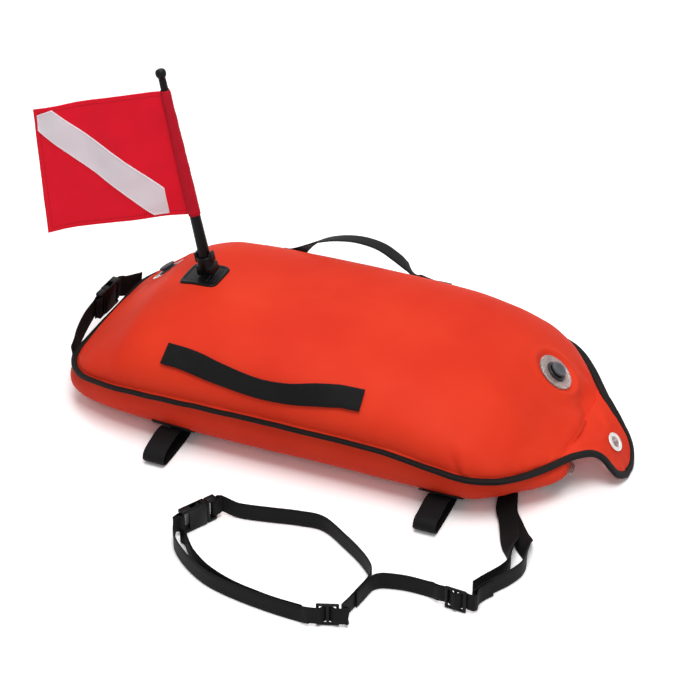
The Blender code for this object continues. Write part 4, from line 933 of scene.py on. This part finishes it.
# The tape is folded wider from here to here in X, round the nose and the tab
BINDING_WIDENS = (0.12, 0.23)
BINDING_GROWTH = 0.26
SEAM_PLACES = (0.985, 0.97, 0.955, 0.93, 0.90, 0.86, 0.80, 0.70, 0.58, 0.45, 0.32, 0.22, 0.14, 0.09, 0.055,
               0.035, 0.022, 0.012, 0.004)
TAB_PLACES = (0.08, 0.16, 0.30, 0.45, 0.62, 0.78, 0.90, 1.0)
TAB_END_LEAN = -1.25


def seam_point(along):
    """Middle of the tape beside the near side of the hull, square off the cover's edge."""
    before, after = max(along - 0.004, 0.0), min(along + 0.004, 1.0)
    ahead = Vector(((after - before) * HULL_LENGTH, station(before)[0] - station(after)[0], 0)).normalized()
    half, seam = station(along)[:2]
    return [TAIL_X + HULL_LENGTH * along + ahead.y * BINDING_OUT, -half - ahead.x * BINDING_OUT, seam, 0, 0, 1]


def tab_edge_point(along):
    """Middle of the tape beside the far edge of the tow tab."""
    slope = (tab_half(min(along + 0.02, 1.0)) - tab_half(max(along - 0.02, 0.0))) / (0.04 * TAB_LENGTH)
    lean = math.atan(slope) if along < 1.0 else TAB_END_LEAN
    edge = tab_point(along, tab_half(along) + BINDING_OUT * math.cos(lean))
    return [*(edge - tab_ahead(along) * BINDING_OUT * math.sin(lean)), *tab_normal(along)]


def mirrored(points):
    return [[x, -y, z, wide_x, -wide_y, wide_z] for x, y, z, wide_x, wide_y, wide_z in reversed(points)]


def seam_route():
    """Closed run of tape: near side to the tail, far side to the nose, then round the tow tab."""
    near = [seam_point(along) for along in SEAM_PLACES]
    end_half, end_seam = station(0.0)[:2]
    corner, beside, middle = ([TAIL_X - BINDING_OUT, -end_half * share, end_seam, 0, 0, 1]
                              for share in (0.97, 0.7, 0.0))
    tip = tab_point(1.0, 0) + (tab_point(1.0, 0) - tab_point(0.96, 0)).normalized() * BINDING_OUT
    tab = [tab_edge_point(along) for along in TAB_PLACES]
    return (near + [corner, beside, middle] + mirrored([corner, beside]) + mirrored(near)
            + tab + [[*tip, *tab_normal(1.0)]] + mirrored(tab))


def make_binding():
    """Tape folded round the seam's edge: a rounded outer fold and two thin lips sewn through."""
    half = [(-1, 0.82), (-0.55, 0.98), (0.1, 1.0), (0.62, 0.86), (0.93, 0.48), (1, 0)]
    ring = half + [(a, -b) for a, b in reversed(half[:-1])]
    section = [(b * BINDING_DEPTH, a * BINDING_HALF, k * BINDING_MAP_STEP) for k, (a, b) in enumerate(ring)]
    frames = []
    for mark, spot, ahead, across, face in strap_frames(seam_route(), 0.0036, closed=True):
        waver = face * (0.0004 * ripple(spot, 0.020, 9.0)) + across * (0.0005 * ripple(spot, 0.028, 6.0))
        grow = 1 + BINDING_GROWTH * smooth_step(*BINDING_WIDENS, spot.x)
        frames.append(StrapFrame(mark, spot + waver, ahead, across * grow, face * grow))
    frames[-1] = frames[0]._replace(mark=frames[-1].mark)
    dress(swept("seam_binding_tape", frames, section, closed=True), TAPE_LOOK, ["seam_binding"])

    def sew(work):
        count = int(frames[-1].mark / BINDING_STITCH)
        for k in range(count):
            here = on_strap(frames, frames[-1].mark * (k + 0.5) / count, 0.0, 0.0)
            for side in (-1, 1):
                spot = here.spot + here.across * side * (BINDING_DEPTH - 0.00002) - here.face * 0.0016
                bead(work, spot, here.ahead, here.across * side, BINDING_STITCH * 0.775, 0.0007)
    stitching("binding_stitches", sew)


make_binding()


# Belt and leash, standing on edge on the ground; places in millimetres from a spot that keeps its distance
# from the leash's root

UPRIGHT = (0, 0, 1)
LYING = (0.88, 0.47, 0.0)
GROUND = NARROW_WIDTH / 2 + 0.0004
LEASH_ROOT = (TAIL_X + HULL_LENGTH * 0.90845, -HULL_HALF * 0.5952)
LAY_X = LEASH_ROOT[0] - 0.2290
LAY_Y = LEASH_ROOT[1] + 0.0872
BUCKLE_WIDTH = 0.029
SLIDER_LENGTH = 0.0230
SLIDER_WIDTH = 0.0265
SLIDER_THICKNESS = 0.0030
SLIDER_BAR = 0.0030


def on_edge(*places):
    """Route points for webbing standing on its edge on the ground."""
    return [[LAY_X + x * MM, LAY_Y + y * MM, GROUND, *UPRIGHT] for x, y in places]


def laid(*places):
    """Route points with their own heights and width directions."""
    return [[LAY_X + x * MM, LAY_Y + y * MM, z * MM, *width] for x, y, z, *width in places]


def ground_frame(x, y, heading, width):
    """Frame for hardware standing on edge, local X along the heading in degrees and local Y upright."""
    ahead = Vector((math.cos(math.radians(heading)), math.sin(math.radians(heading)), 0))
    middle = (LAY_X + x * MM, LAY_Y + y * MM, width / 2 + 0.0004)
    return axis_frame(middle, ahead.cross(Vector(UPRIGHT)), ahead)


def slider_pass(placed, tail=0.009):
    """Webbing through a ladder slider, from local -X to +X; tail is how far it runs on behind."""
    off = SLIDER_THICKNESS / 2 + FIT + WEBBING / 2 + 0.0002
    edge = SLIDER_LENGTH / 2
    width = placed.to_3x3() @ Vector((0, 1, 0))
    half = [(0.0012, off), (edge * 0.41, off * 0.05), (edge * 0.66, -off),
            (edge - SLIDER_BAR * 0.5, -off * 1.04), (edge + 0.001, -off)]
    shape = [(-edge - 0.009, -off * 0.7)] + [(-x, z) for x, z in reversed(half)]
    shape += half + [(edge + tail, -off * 0.7)]
    return [[*(placed @ Vector((x, 0, z))), *width] for x, z in shape]


def under_nose(along, plies):
    """Route point under the hull where the leash is sewn; along runs outwards from its end."""
    spot, out = hull_skin(LEASH_ROOT[0] + along * 0.42, LEASH_ROOT[1] - along * 0.91, False)
    width = Vector(LYING) - out * out.dot(Vector(LYING))
    return [*(spot + out * (0.0016 + WEBBING / 2 + plies * (WEBBING + 0.0008))), *width]


BELT_BUCKLE = ground_frame(-48.5, -252.5, 241, BUCKLE_WIDTH)
LEASH_SLIDER = ground_frame(243.5, -286, -4, SLIDER_WIDTH)
BELT_SLIDER = ground_frame(135, -356, 200, SLIDER_WIDTH)

# The belt leaves the plug, passes the link and its slider, and folds round the socket's bar
BELT_ROUTE = (bar_fold(BELT_BUCKLE, PLUG_BAR_X, -1) + on_edge(
    (-22, -233), (-8, -232), (17, -227), (46, -221), (73, -220), (105, -239), (129, -256), (145, -271),
    (152, -284), (152.5, -297), (150, -314), (147.5, -331), (145.5, -344)) + slider_pass(BELT_SLIDER) + on_edge(
    (108, -362.5), (75, -361), (34, -356), (-2, -347), (-31, -331), (-56, -309))
    + bar_fold(BELT_BUCKLE, SOCKET_BAR_X, 1, tuck=1)[::-1])
BELT_RETURN_ROUTE = on_edge(
    (-57, -294), (-50, -297), (-42, -307), (-28, -322), (-4, -338.5), (28, -351), (62, -357.2), (80, -359.2),
    (96, -359.8), (109, -360))
# The link is sewn flat to the belt; behind its slider it turns up beside the leash
LEASH_LINK_ROUTE = on_edge(
    (151.1, -321), (152.1, -314.3), (153.7, -304), (154.6, -297), (156.4, -289.5), (162, -284), (170, -281),
    (189, -277.5), (213, -277.5)) + slider_pass(LEASH_SLIDER, 0.0015) + laid(
    (262.6, -284.2, 13.3, *UPRIGHT), (264, -279.5, 12.2, *UPRIGHT), (262.8, -274.2, 11.1, *UPRIGHT)) + on_edge(
    (262.4, -268.4), (266.2, -259.3), (271, -251.2))
# Both plies of the leash stand on edge at the slider, lie down flat and are sewn under the nose
LEASH_FRONT_ROUTE = [under_nose(along, 1) for along in (-0.006, 0.0, 0.006)] + laid(
    (240, -115, 2.4, *LYING), (250, -130, 1.8, *LYING), (263.5, -149, 2, 0.86, 0.50, 0.02),
    (274.5, -165, 5.2, 0.84, 0.34, 0.42), (281.5, -179, 9.2, 0.40, 0.12, 0.90)) + on_edge(
    (286, -193), (287.5, -208), (284.5, -220), (278.5, -233), (270.5, -246), (263.3, -259), (259.3, -269),
    (258.6, -274))
LEASH_REAR_ROUTE = [under_nose(along, 0) for along in (-0.006, 0.0, 0.006)] + laid(
    (237, -117, 6.2, *LYING), (245.5, -133, 5.2, *LYING), (253.5, -151.5, 5.5, 0.92, 0.36, 0.03),
    (260, -169, 7.6, 0.86, 0.28, 0.42), (266.5, -185, 9.6, 0.40, 0.12, 0.90)) + on_edge(
    (271, -199), (273, -212), (270, -224), (264, -236.5), (257.5, -249), (252.5, -260))


def free_strap(name, route, node):
    """Narrow webbing that hangs on nothing solid; gives its frames."""
    made, frames = strap(name, route, node, NARROW_WIDTH, 0.0030)
    [tuple(here.spot) for here in frames]
    return frames


belt_frames = free_strap("belt_webbing", BELT_ROUTE, "belt")
return_frames = free_strap("belt_return_webbing", BELT_RETURN_ROUTE, "belt_return")
link_frames = free_strap("leash_link_webbing", LEASH_LINK_ROUTE, "leash_link")
free_strap("leash_front_ply_webbing", LEASH_FRONT_ROUTE, "leash_front_ply")
free_strap("leash_rear_ply_webbing", LEASH_REAR_ROUTE, "leash_rear_ply")


def sew_leash(work):
    """Boxes at both ends of the link, of the belt's return and of the belt, where they are sewn down."""
    for frames, reach in ((link_frames, 0.014), (return_frames, 0.010), (belt_frames, 0.010)):
        total = frames[-1].mark
        for first, last in ((0.002, reach), (total - reach, total - 0.002)):
            for lift in (STITCH_LIFT, -STITCH_LIFT):
                sew_box(work, frames, first, last, 0.0078, lift, cross=False)


stitching("leash_stitches", sew_leash)


# Dive flag; heights run along the pole's axis, radii off it

POLE_AXIS = POLE.to_3x3() @ Vector((0, 0, 1))
POLE_START = 0.0038
POLE_END = 0.2358
POLE_TAPER_START = 0.0253
POLE_BUTT_RADIUS = 0.0066
POLE_TIP_RADIUS = 0.0040
SLEEVE_START = 0.0730
SLEEVE_LENGTH = 0.1500
SLEEVE_ROOM = 0.00085
SLEEVE_WALL = 0.0004
FLAG_WALL = 0.0007
FLAG_FOOT_WIDTH = 0.165
FLAG_HEAD_WIDTH = 0.147
FLAG_DROOP = 0.006
FLAG_LEAN = math.radians(11.3)
FLAG_TURN = math.radians(13.0)
FLAG_SIZE = (0.16, 0.15)
FLAG_LUMPS = ((0.0016, 0.045, 3.0), (0.0006, 0.017, 8.0))
FLY = Vector((-math.cos(FLAG_LEAN) * math.cos(FLAG_TURN), -math.sin(FLAG_TURN),
              -math.sin(FLAG_LEAN) * math.cos(FLAG_TURN)))
FLAG_FACE = FLY.cross(POLE_AXIS).normalized()


def sleeve_radius(height):
    """Sleeve over the tapered pole."""
    share = min(max((height - POLE_TAPER_START) / (POLE_END - POLE_TAPER_START), 0.0), 1.0)
    return POLE_BUTT_RADIUS + (POLE_TIP_RADIUS - POLE_BUTT_RADIUS) * share + SLEEVE_ROOM


def flag_point(u, v, off=0.0):
    """Cloth from the sleeve, u = 0, to the fly, u = 1, and from foot, v = 0, to head, v = 1."""
    height = SLEEVE_START + 0.001 + v * (SLEEVE_LENGTH - 0.002)
    start = POLE.translation + POLE_AXIS * height + FLY * (sleeve_radius(height) + FIT)
    width = FLAG_FOOT_WIDTH + (FLAG_HEAD_WIDTH - FLAG_FOOT_WIDTH) * v
    wave = 0.0020 * u * math.sin(2 * math.pi * (1.55 * u + 0.32 * v + 0.1))
    wave += 0.0011 * u * math.sin(2 * math.pi * (2.7 * u - 0.5 * v))
    wave += smooth_step(0.0, 0.12, u) * lumps((u * FLAG_SIZE[0], v * FLAG_SIZE[1], 0), *FLAG_LUMPS)
    pull = 0.0010 * math.exp(-u / 0.25) * math.sin(2 * math.pi * (v * 3.2 + u * 1.4))
    wave += pull * smooth_step(0.0, 0.06, u)
    return start + FLY * (width * u) + FLAG_FACE * (wave + off) + Vector((0, 0, -FLAG_DROOP * u * u))


def make_flag():
    rows, columns = 132, 116
    work = bmesh.new()
    grid_piece(work, rows, columns, lambda i, j: flag_point(i / rows, j / columns),
               lambda i, j: (i / rows * FLAG_SIZE[0], j / columns * FLAG_SIZE[1]))
    cloth = walled(piece("flag_cloth_nylon", work), FLAG_WALL)
    return dress(cloth, FLAG_LOOK, ["flag_cloth"], "flag")


flag = make_flag()

STRIPE_SIZE = (0.19, 0.035)
STRIPE_LIFT = 0.00062
STRIPE_WALL = 0.0005
# The white diagonal's edge, middle and other edge, each from the fly's head to the sleeve's foot, as (u, v)
STRIPE_EDGES = (((0.85, 0.975), (0.125, 0.235)), ((0.975, 0.95), (0.13, 0.02)), ((0.98, 0.83), (0.235, 0.02)))


def stripe_spot(t, w):
    """Place on the cloth, (u, v), of the stripe's share t along it and w across it."""
    lines = [((1 - t) * a[0] + t * b[0], (1 - t) * a[1] + t * b[1]) for a, b in STRIPE_EDGES]
    first, second, share = (lines[0], lines[1], 2 * w) if w < 0.5 else (lines[1], lines[2], 2 * w - 1)
    return tuple(first[k] * (1 - share) + second[k] * share for k in (0, 1))


def make_stripe(label, side):
    """Diagonal on one face of the flag; side is -1 on the near face."""
    rows, columns = 120, 24
    work = bmesh.new()
    grid_piece(work, rows, columns,
               lambda i, j: flag_point(*stripe_spot(i / rows, j / columns), side * STRIPE_LIFT),
               lambda i, j: (i / rows * STRIPE_SIZE[0], j / columns * STRIPE_SIZE[1]))
    if side < 0:
        bmesh.ops.reverse_faces(work, faces=work.faces)
    cloth = walled(piece("flag_stripe_" + label + "_nylon", work), STRIPE_WALL)
    dress(cloth, STRIPE_LOOK, ["flag_stripe_" + label], "flag")


make_stripe("near", -1)
make_stripe("far", 1)


def make_sleeve():
    """Sleeve sewn round the pole, with small rings of slack cloth."""
    rows, columns = 120, 48

    def place(i, j):
        height = SLEEVE_START + SLEEVE_LENGTH * i / rows
        turn = 2 * math.pi * j / columns
        slack = 0.0005 + 0.0005 * ripple((math.cos(turn) * 0.006, math.sin(turn) * 0.006, height), 0.0085, 2.0)
        reach = sleeve_radius(height) + slack * smooth_step(0, 0.004, min(i, rows - i) / rows * SLEEVE_LENGTH)
        return POLE @ Vector((reach * math.cos(turn), reach * math.sin(turn), height))

    work = bmesh.new()
    grid_piece(work, rows, columns, place, lambda i, j: (i / rows * SLEEVE_LENGTH, j / columns * 0.04))
    bmesh.ops.remove_doubles(work, verts=work.verts, dist=0.000002)
    bmesh.ops.recalc_face_normals(work, faces=work.faces)
    cloth = walled(piece("flag_sleeve_nylon", work), SLEEVE_WALL, -1.0)
    dress(cloth, SLEEVE_LOOK, ["flag_sleeve"], "flag")


make_sleeve()

# Seams on the flag: how far a stitch stands off the cloth's middle, its pitch and its width
HEM_STITCH = (0.0004, 0.0030, 0.0007)
STRIPE_STITCH = (0.0010, 0.0024, 0.0019)
HEM = ((0.02, 0.965), (0.965, 0.965), (0.965, 0.035), (0.02, 0.035))
STRIPE_SEAM = ((0, 0), (0.33, 0), (0.67, 0), (1, 0), (1, 0.5), (1, 1), (0.67, 1), (0.33, 1), (0, 1), (0, 0.5),
               (0, 0))


def sew_cloth(work, spots, side, off, pitch, wide):
    """Stitches on one face of the flag through the places (u, v)."""
    for start, end in zip(spots, spots[1:]):
        way = flag_point(*end) - flag_point(*start)
        count = max(int(way.length / pitch), 1)
        for k in range(count):
            u, v = (start[n] + (end[n] - start[n]) * (k + 0.5) / count for n in (0, 1))
            bead(work, flag_point(u, v, side * off), way.normalized(), FLAG_FACE * side, pitch * 0.94, wide)


def sew_flag():
    """Hem stitched 5 mm inside the free edges, and the stripe's edges oversewn in white."""
    hem, edge = bmesh.new(), bmesh.new()
    around = [stripe_spot(0.006 + 0.988 * t, 0.028 + 0.944 * w) for t, w in STRIPE_SEAM]
    for side in (-1, 1):
        sew_cloth(hem, HEM, side, *HEM_STITCH)
        sew_cloth(edge, around, side, *STRIPE_STITCH)
    dress(piece("flag_hem_stitches", hem), RED_THREAD, (), "flag")
    dress(piece("stripe_edge_stitches", edge), WHITE_THREAD, (), "flag")


sew_flag()


# Turned pieces: pole, knob, valves, grommet; profiles are (radius, height)

def rounded(points, size, closed=True):
    """Profile with its corners eased by small curves; a corner on the axis stays."""
    out = []
    count = len(points)
    for k, here in enumerate(points):
        if here[0] < 1e-9 or (not closed and k in (0, count - 1)):
            out.append(here)
            continue
        before, after = Vector(points[k - 1]), Vector(points[(k + 1) % count])
        corner = Vector(here)
        first, last = before - corner, after - corner
        cut = min(size, first.length * 0.4, last.length * 0.4)
        start, end = corner + first.normalized() * cut, corner + last.normalized() * cut
        for t in (0.0, 0.33, 0.67, 1.0):
            spot = start * (1 - t) ** 2 + corner * 2 * t * (1 - t) + end * t ** 2
            out.append((max(spot.x, 0.0), spot.y))
    return out


def spun(name, profile, placed, look, node, body="hull", steps=72, size=0.0004, closed=True, shape=None):
    """Profile turned once round; a closed one is a ring, an open one starts and ends on the axis."""
    work = bmesh.new()
    verts = [work.verts.new((r, 0.0, z)) for r, z in rounded(profile, size, closed)]
    edges = [work.edges.new(pair) for pair in zip(verts, verts[1:] + verts[:1] if closed else verts[1:])]
    bmesh.ops.spin(work, geom=verts + edges, cent=(0, 0, 0), axis=(0, 0, 1), dvec=(0, 0, 0), angle=2 * math.pi,
                   steps=steps, use_merge=True, use_duplicate=False)
    bmesh.ops.remove_doubles(work, verts=work.verts, dist=0.000003)
    bmesh.ops.recalc_face_normals(work, faces=work.faces)
    if shape:
        for vert in work.verts:
            vert.co = shape(vert.co)
    bmesh.ops.transform(work, matrix=placed, verts=work.verts)
    return dress(piece(name, work, angle=48), look, [node], body)


spun("flag_pole_moulding", [
    (0.0, POLE_END), (POLE_TIP_RADIUS, POLE_END), (POLE_BUTT_RADIUS, POLE_TAPER_START),
    (POLE_BUTT_RADIUS, POLE_START + 0.001), (POLE_BUTT_RADIUS - 0.0008, POLE_START), (0.0, POLE_START)],
    POLE, ACETAL, "flag_pole", "pole", 64, closed=False)
KNOB_FOOT = POLE_END + FIT
spun("pole_knob_moulding", [
    (0.0, KNOB_FOOT + 0.0110), (0.0030, KNOB_FOOT + 0.0110), (0.0052, KNOB_FOOT + 0.0098),
    (0.0060, KNOB_FOOT + 0.0068), (0.0058, KNOB_FOOT + 0.0040), (0.0048, KNOB_FOOT + 0.0022),
    (0.0040, KNOB_FOOT + 0.0010), (0.0040, KNOB_FOOT), (0.0, KNOB_FOOT)],
    POLE, ACETAL, "pole_knob", "pole", 56, 0.0012, closed=False)

# Valves: heights over the cloth that the flange is welded to
FLANGE_TOP = 0.0016
FLANGE_RADIUS = 0.0222
FLANGE_RIM = 0.0009
BARREL_BORE = 0.0088
BARREL_RADIUS = 0.0105
BARREL_FOOT = -0.012
SEAT_TOP = FLANGE_TOP + 0.0026
SEAT_FOOT = -0.011
SEAT_BORE = 0.0066
SEAT_BARREL = 0.0085
SEAT_RADIUS = 0.0125
SEAL_FOOT = SEAT_TOP + FIT
SEAL_TOP = SEAL_FOOT + 0.0010
SEAL_BORE = 0.0061
SEAL_RADIUS = 0.0084
CAP_FOOT = SEAL_FOOT + 0.0013
CAP_TOP = CAP_FOOT + 0.0026
CAP_RADIUS = 0.0092
CAP_STEM = 0.0058
CAP_STEM_FOOT = -0.0050
CAP_RIBS = 22
CAP_RIB_DEPTH = 0.022


def grip(point):
    """Finger ribs round the rim of a cap's head, past its seal and over its stem."""
    if math.hypot(point.x, point.y) < 0.0084 or point.z < 0.0050:
        return point
    ease = 1 + CAP_RIB_DEPTH * math.cos(math.atan2(point.y, point.x) * CAP_RIBS)
    return Vector((point.x * ease, point.y * ease, point.z))


def make_valve(name):
    placed = VALVES[name]
    spun(name + "_valve_flange", [
        (BARREL_BORE, FLANGE_TOP), (FLANGE_RADIUS - 0.0034, FLANGE_TOP),
        (FLANGE_RADIUS - 0.0026, FLANGE_TOP + FLANGE_RIM), (FLANGE_RADIUS - 0.0007, FLANGE_TOP + FLANGE_RIM),
        (FLANGE_RADIUS, FLANGE_TOP), (FLANGE_RADIUS, 0.0), (BARREL_RADIUS, 0.0), (BARREL_RADIUS, BARREL_FOOT),
        (BARREL_BORE, BARREL_FOOT)], placed, PVC, name + "_valve_body", "hull", 96, 0.0006)
    spun(name + "_valve_ring_seat", [
        (SEAT_BORE, SEAT_TOP), (0.0104, SEAT_TOP), (0.0108, SEAT_TOP - 0.0005), (0.0112, SEAT_TOP - 0.0005),
        (SEAT_RADIUS, SEAT_TOP - 0.0012), (SEAT_RADIUS, FLANGE_TOP + FIT), (SEAT_BARREL, FLANGE_TOP + FIT),
        (SEAT_BARREL, SEAT_FOOT), (SEAT_BORE, SEAT_FOOT)],
        placed, SEAT_LOOK, name + "_valve_seat", "hull", 80)
    spun(name + "_valve_o_ring", [
        (SEAL_BORE, SEAL_TOP), (SEAL_RADIUS, SEAL_TOP), (SEAL_RADIUS, SEAL_FOOT), (SEAL_BORE, SEAL_FOOT)],
        placed, RUBBER, name + "_valve_seal", name + "_valve_ring", 56, 0.0003)
    spun(name + "_valve_screw_cap", [
        (0.0, CAP_FOOT + 0.0007), (0.0030, CAP_FOOT + 0.0008), (0.0052, CAP_FOOT + 0.0014),
        (0.0066, CAP_TOP), (0.0086, CAP_TOP), (CAP_RADIUS, CAP_TOP - 0.0008), (CAP_RADIUS, CAP_FOOT),
        (CAP_STEM, CAP_FOOT), (CAP_STEM, CAP_STEM_FOOT), (0.0, CAP_STEM_FOOT)],
        placed, CAP_LOOK, name + "_valve_cap", name + "_valve_screw", 88, closed=False,
        shape=grip)


for valve_name in VALVES:
    make_valve(valve_name)

# Grommet: its flanges lie this far off the middle of the tab's cloth
GROMMET_FACE = TAB_THICKNESS / 2 + 0.0016
GROMMET_BORE = 0.0062
GROMMET_BARREL = 0.0080
GROMMET_RADIUS = 0.0108
GROMMET_FOOT = -GROMMET_FACE - 0.0011
WASHER_BORE = 0.0083
spun("tow_grommet_pressing", [
    (GROMMET_BORE, GROMMET_FACE + 0.0002), (0.0070, GROMMET_FACE + 0.0010), (0.0086, GROMMET_FACE + 0.0011),
    (0.0100, GROMMET_FACE + 0.0006), (GROMMET_RADIUS, GROMMET_FACE + 0.0001),
    (GROMMET_RADIUS, GROMMET_FACE - 0.0006), (GROMMET_BARREL, GROMMET_FACE - 0.0012),
    (GROMMET_BARREL, GROMMET_FOOT), (GROMMET_BORE, GROMMET_FOOT)],
    GROMMET, NICKEL, "tow_grommet", "hull", 88)
spun("grommet_washer_pressing", [
    (WASHER_BORE, -GROMMET_FACE + 0.0008), (GROMMET_RADIUS, -GROMMET_FACE + 0.0005),
    (GROMMET_RADIUS, -GROMMET_FACE - 0.0004), (WASHER_BORE, -GROMMET_FACE - 0.0009)],
    GROMMET, NICKEL, "grommet_washer", "hull", 72, 0.0003)


# Moulded hardware

MOULD_CORNER = math.radians(30)


def eased(node, size, body="hull"):
    """The node's own form with its edges rounded as a mould leaves them."""
    work = bmesh.new()
    work.from_mesh(frame["nodes"][node].data)
    bmesh.ops.remove_doubles(work, verts=work.verts, dist=0.000012)
    bmesh.ops.dissolve_limit(work, angle_limit=math.radians(2.0), verts=work.verts, edges=work.edges)
    sharp = [edge for edge in work.edges if edge.is_manifold and edge.calc_face_angle(0) > MOULD_CORNER]
    bmesh.ops.bevel(work, geom=sharp, offset=size, offset_type="OFFSET", segments=3, profile=0.5,
                    affect="EDGES", material=-1, clamp_overlap=True)
    dress(piece(node + "_moulding", work, angle=38), ACETAL, [node], body)


for buckle in ("tail_buckle", "belt_buckle"):
    eased(buckle + "_socket", 0.0005)
    eased(buckle + "_plug", 0.0004)
    for side in ("left", "right"):
        eased(buckle + "_" + side + "_prong", 0.00035, buckle + "_" + side)
for node in ("leash_slider", "belt_slider", "flag_socket"):
    eased(node, 0.0005)

BASE_X = -0.166
BASE_HALF = 0.0235
BASE_WALL = 0.0018
BASE_RISE = 0.0018
BORDER_RISE = 0.0009
RIB_RISE = 0.0008
RIB_COUNT = 3
# The ribs' place on the plate: from and to in X, and the half width in Y, as shares of its half size
RIB_FROM = 0.34
RIB_TO = 0.78
RIB_HALF = 0.66
EDGE_DROP = 0.0011


def top_height(x, y):
    """Height of the upper cover over a place in plan near the crest."""
    half, seam, crest, keel, above = station(round(along_of(x), 4))[:5]
    share = min(abs(y) / half, 0.999)
    return seam + SEAM_GAP / 2 + (crest - seam) * (1 - share ** above) ** (1 / above)


def make_base():
    """Welded base plate: a raised border and, ahead of the socket, a row of low ribs."""
    rows = columns = 96

    def place(i, j):
        a, b = 2 * i / rows - 1, 2 * j / columns - 1
        reach = max(abs(a), abs(b))
        if reach:
            # rings of the plate's own outline, a square with rounded corners
            shrink = reach / (abs(a) ** 6 + abs(b) ** 6) ** (1 / 6)
            a, b = a * shrink, b * shrink
        x, y = BASE_X + a * BASE_HALF, b * BASE_HALF
        rise = BASE_RISE + BORDER_RISE * smooth_step(0.80, 0.86, reach) * (1 - smooth_step(0.95, 1.0, reach))
        if RIB_FROM < a < RIB_TO:
            rib = 0.5 - 0.5 * math.cos(2 * math.pi * RIB_COUNT * (a - RIB_FROM) / (RIB_TO - RIB_FROM))
            rise += RIB_RISE * rib * (1 - smooth_step(RIB_HALF - 0.10, RIB_HALF, abs(b)))
        return Vector((x, y, top_height(x, y) + rise - EDGE_DROP * smooth_step(0.95, 1.0, reach)))

    work = bmesh.new()
    grid_piece(work, rows, columns, place)
    dress(walled(piece("flag_base_moulding", work), BASE_WALL, -1.0), ACETAL, ["flag_base"])


make_base()


# Stage and light

FLOOR_REACH = 1.5
FLOOR_LIT = 0.72
FLOOR_SEEN = 1.40
WORLD_LIT = 0.30
WORLD_SEEN = 1.0


def studio_rays(look):
    """1 for the rays that show the studio: the camera's, and those that gloss and clear vinyl send."""
    path = add(look, "LightPath")
    first = add(look, "Math", {0: (path, "Is Camera Ray"), 1: (path, "Is Glossy Ray")}, operation="MAXIMUM")
    return add(look, "Math", {0: (first, 0), 1: (path, "Is Transmission Ray")}, operation="MAXIMUM")


def white_floor():
    """White floor that the studio's rays see a little brighter, with the object's shadow kept."""
    look = bpy.data.materials.new("white_floor")
    look.use_nodes = True
    tree = look.node_tree
    tree.nodes.remove(tree.nodes["Principled BSDF"])
    base, bright = (add(look, "BsdfDiffuse", {"Color": (white, white, white, 1)})
                    for white in (FLOOR_LIT, FLOOR_SEEN))
    add(look, "MixShader", {0: (studio_rays(look), 0), 1: (base, 0), 2: (bright, 0)},
        to=(0, tree.nodes["Material Output"], "Surface"))
    return look


def make_floor():
    work = bmesh.new()
    bmesh.ops.create_grid(work, x_segments=1, y_segments=1, size=FLOOR_REACH)
    bmesh.ops.translate(work, vec=(0, 0, -0.0002), verts=work.verts)
    floor = piece("floor", work, smooth=False)
    floor.data.materials.append(white_floor())


def lamp(name, place, aim, size, power):
    light = bpy.data.lights.new(name, "AREA")
    light.shape = "DISK"
    light.size = size
    light.energy = power
    obj = link(bpy.data.objects.new(name, light))
    obj.location = place
    obj.rotation_euler = (Vector(aim) - Vector(place)).to_track_quat("-Z", "Y").to_euler()


def set_world():
    world = bpy.data.worlds.new("studio")
    world.use_nodes = True
    bpy.context.scene.world = world
    dim, white = (add(world, "Background", {"Color": (1, 1, 1, 1), "Strength": strength})
                  for strength in (WORLD_LIT, WORLD_SEEN))
    add(world, "MixShader", {0: (studio_rays(world), 0), 1: (dim, 0), 2: (white, 0)},
        to=(0, world.node_tree.nodes["World Output"], "Surface"))


make_floor()
lamp("key_softbox", (0.5, -0.7, 2.5), (0, 0, 0.05), size=1.4, power=34)
lamp("front_softbox", (0.9, -1.9, 1.3), (0, 0, 0.10), size=1.2, power=7)
lamp("top_softbox", (-0.5, 0.6, 2.5), (0, 0, 0.05), size=1.4, power=18)
set_world()
bpy.context.scene.view_settings.view_transform = "Standard"
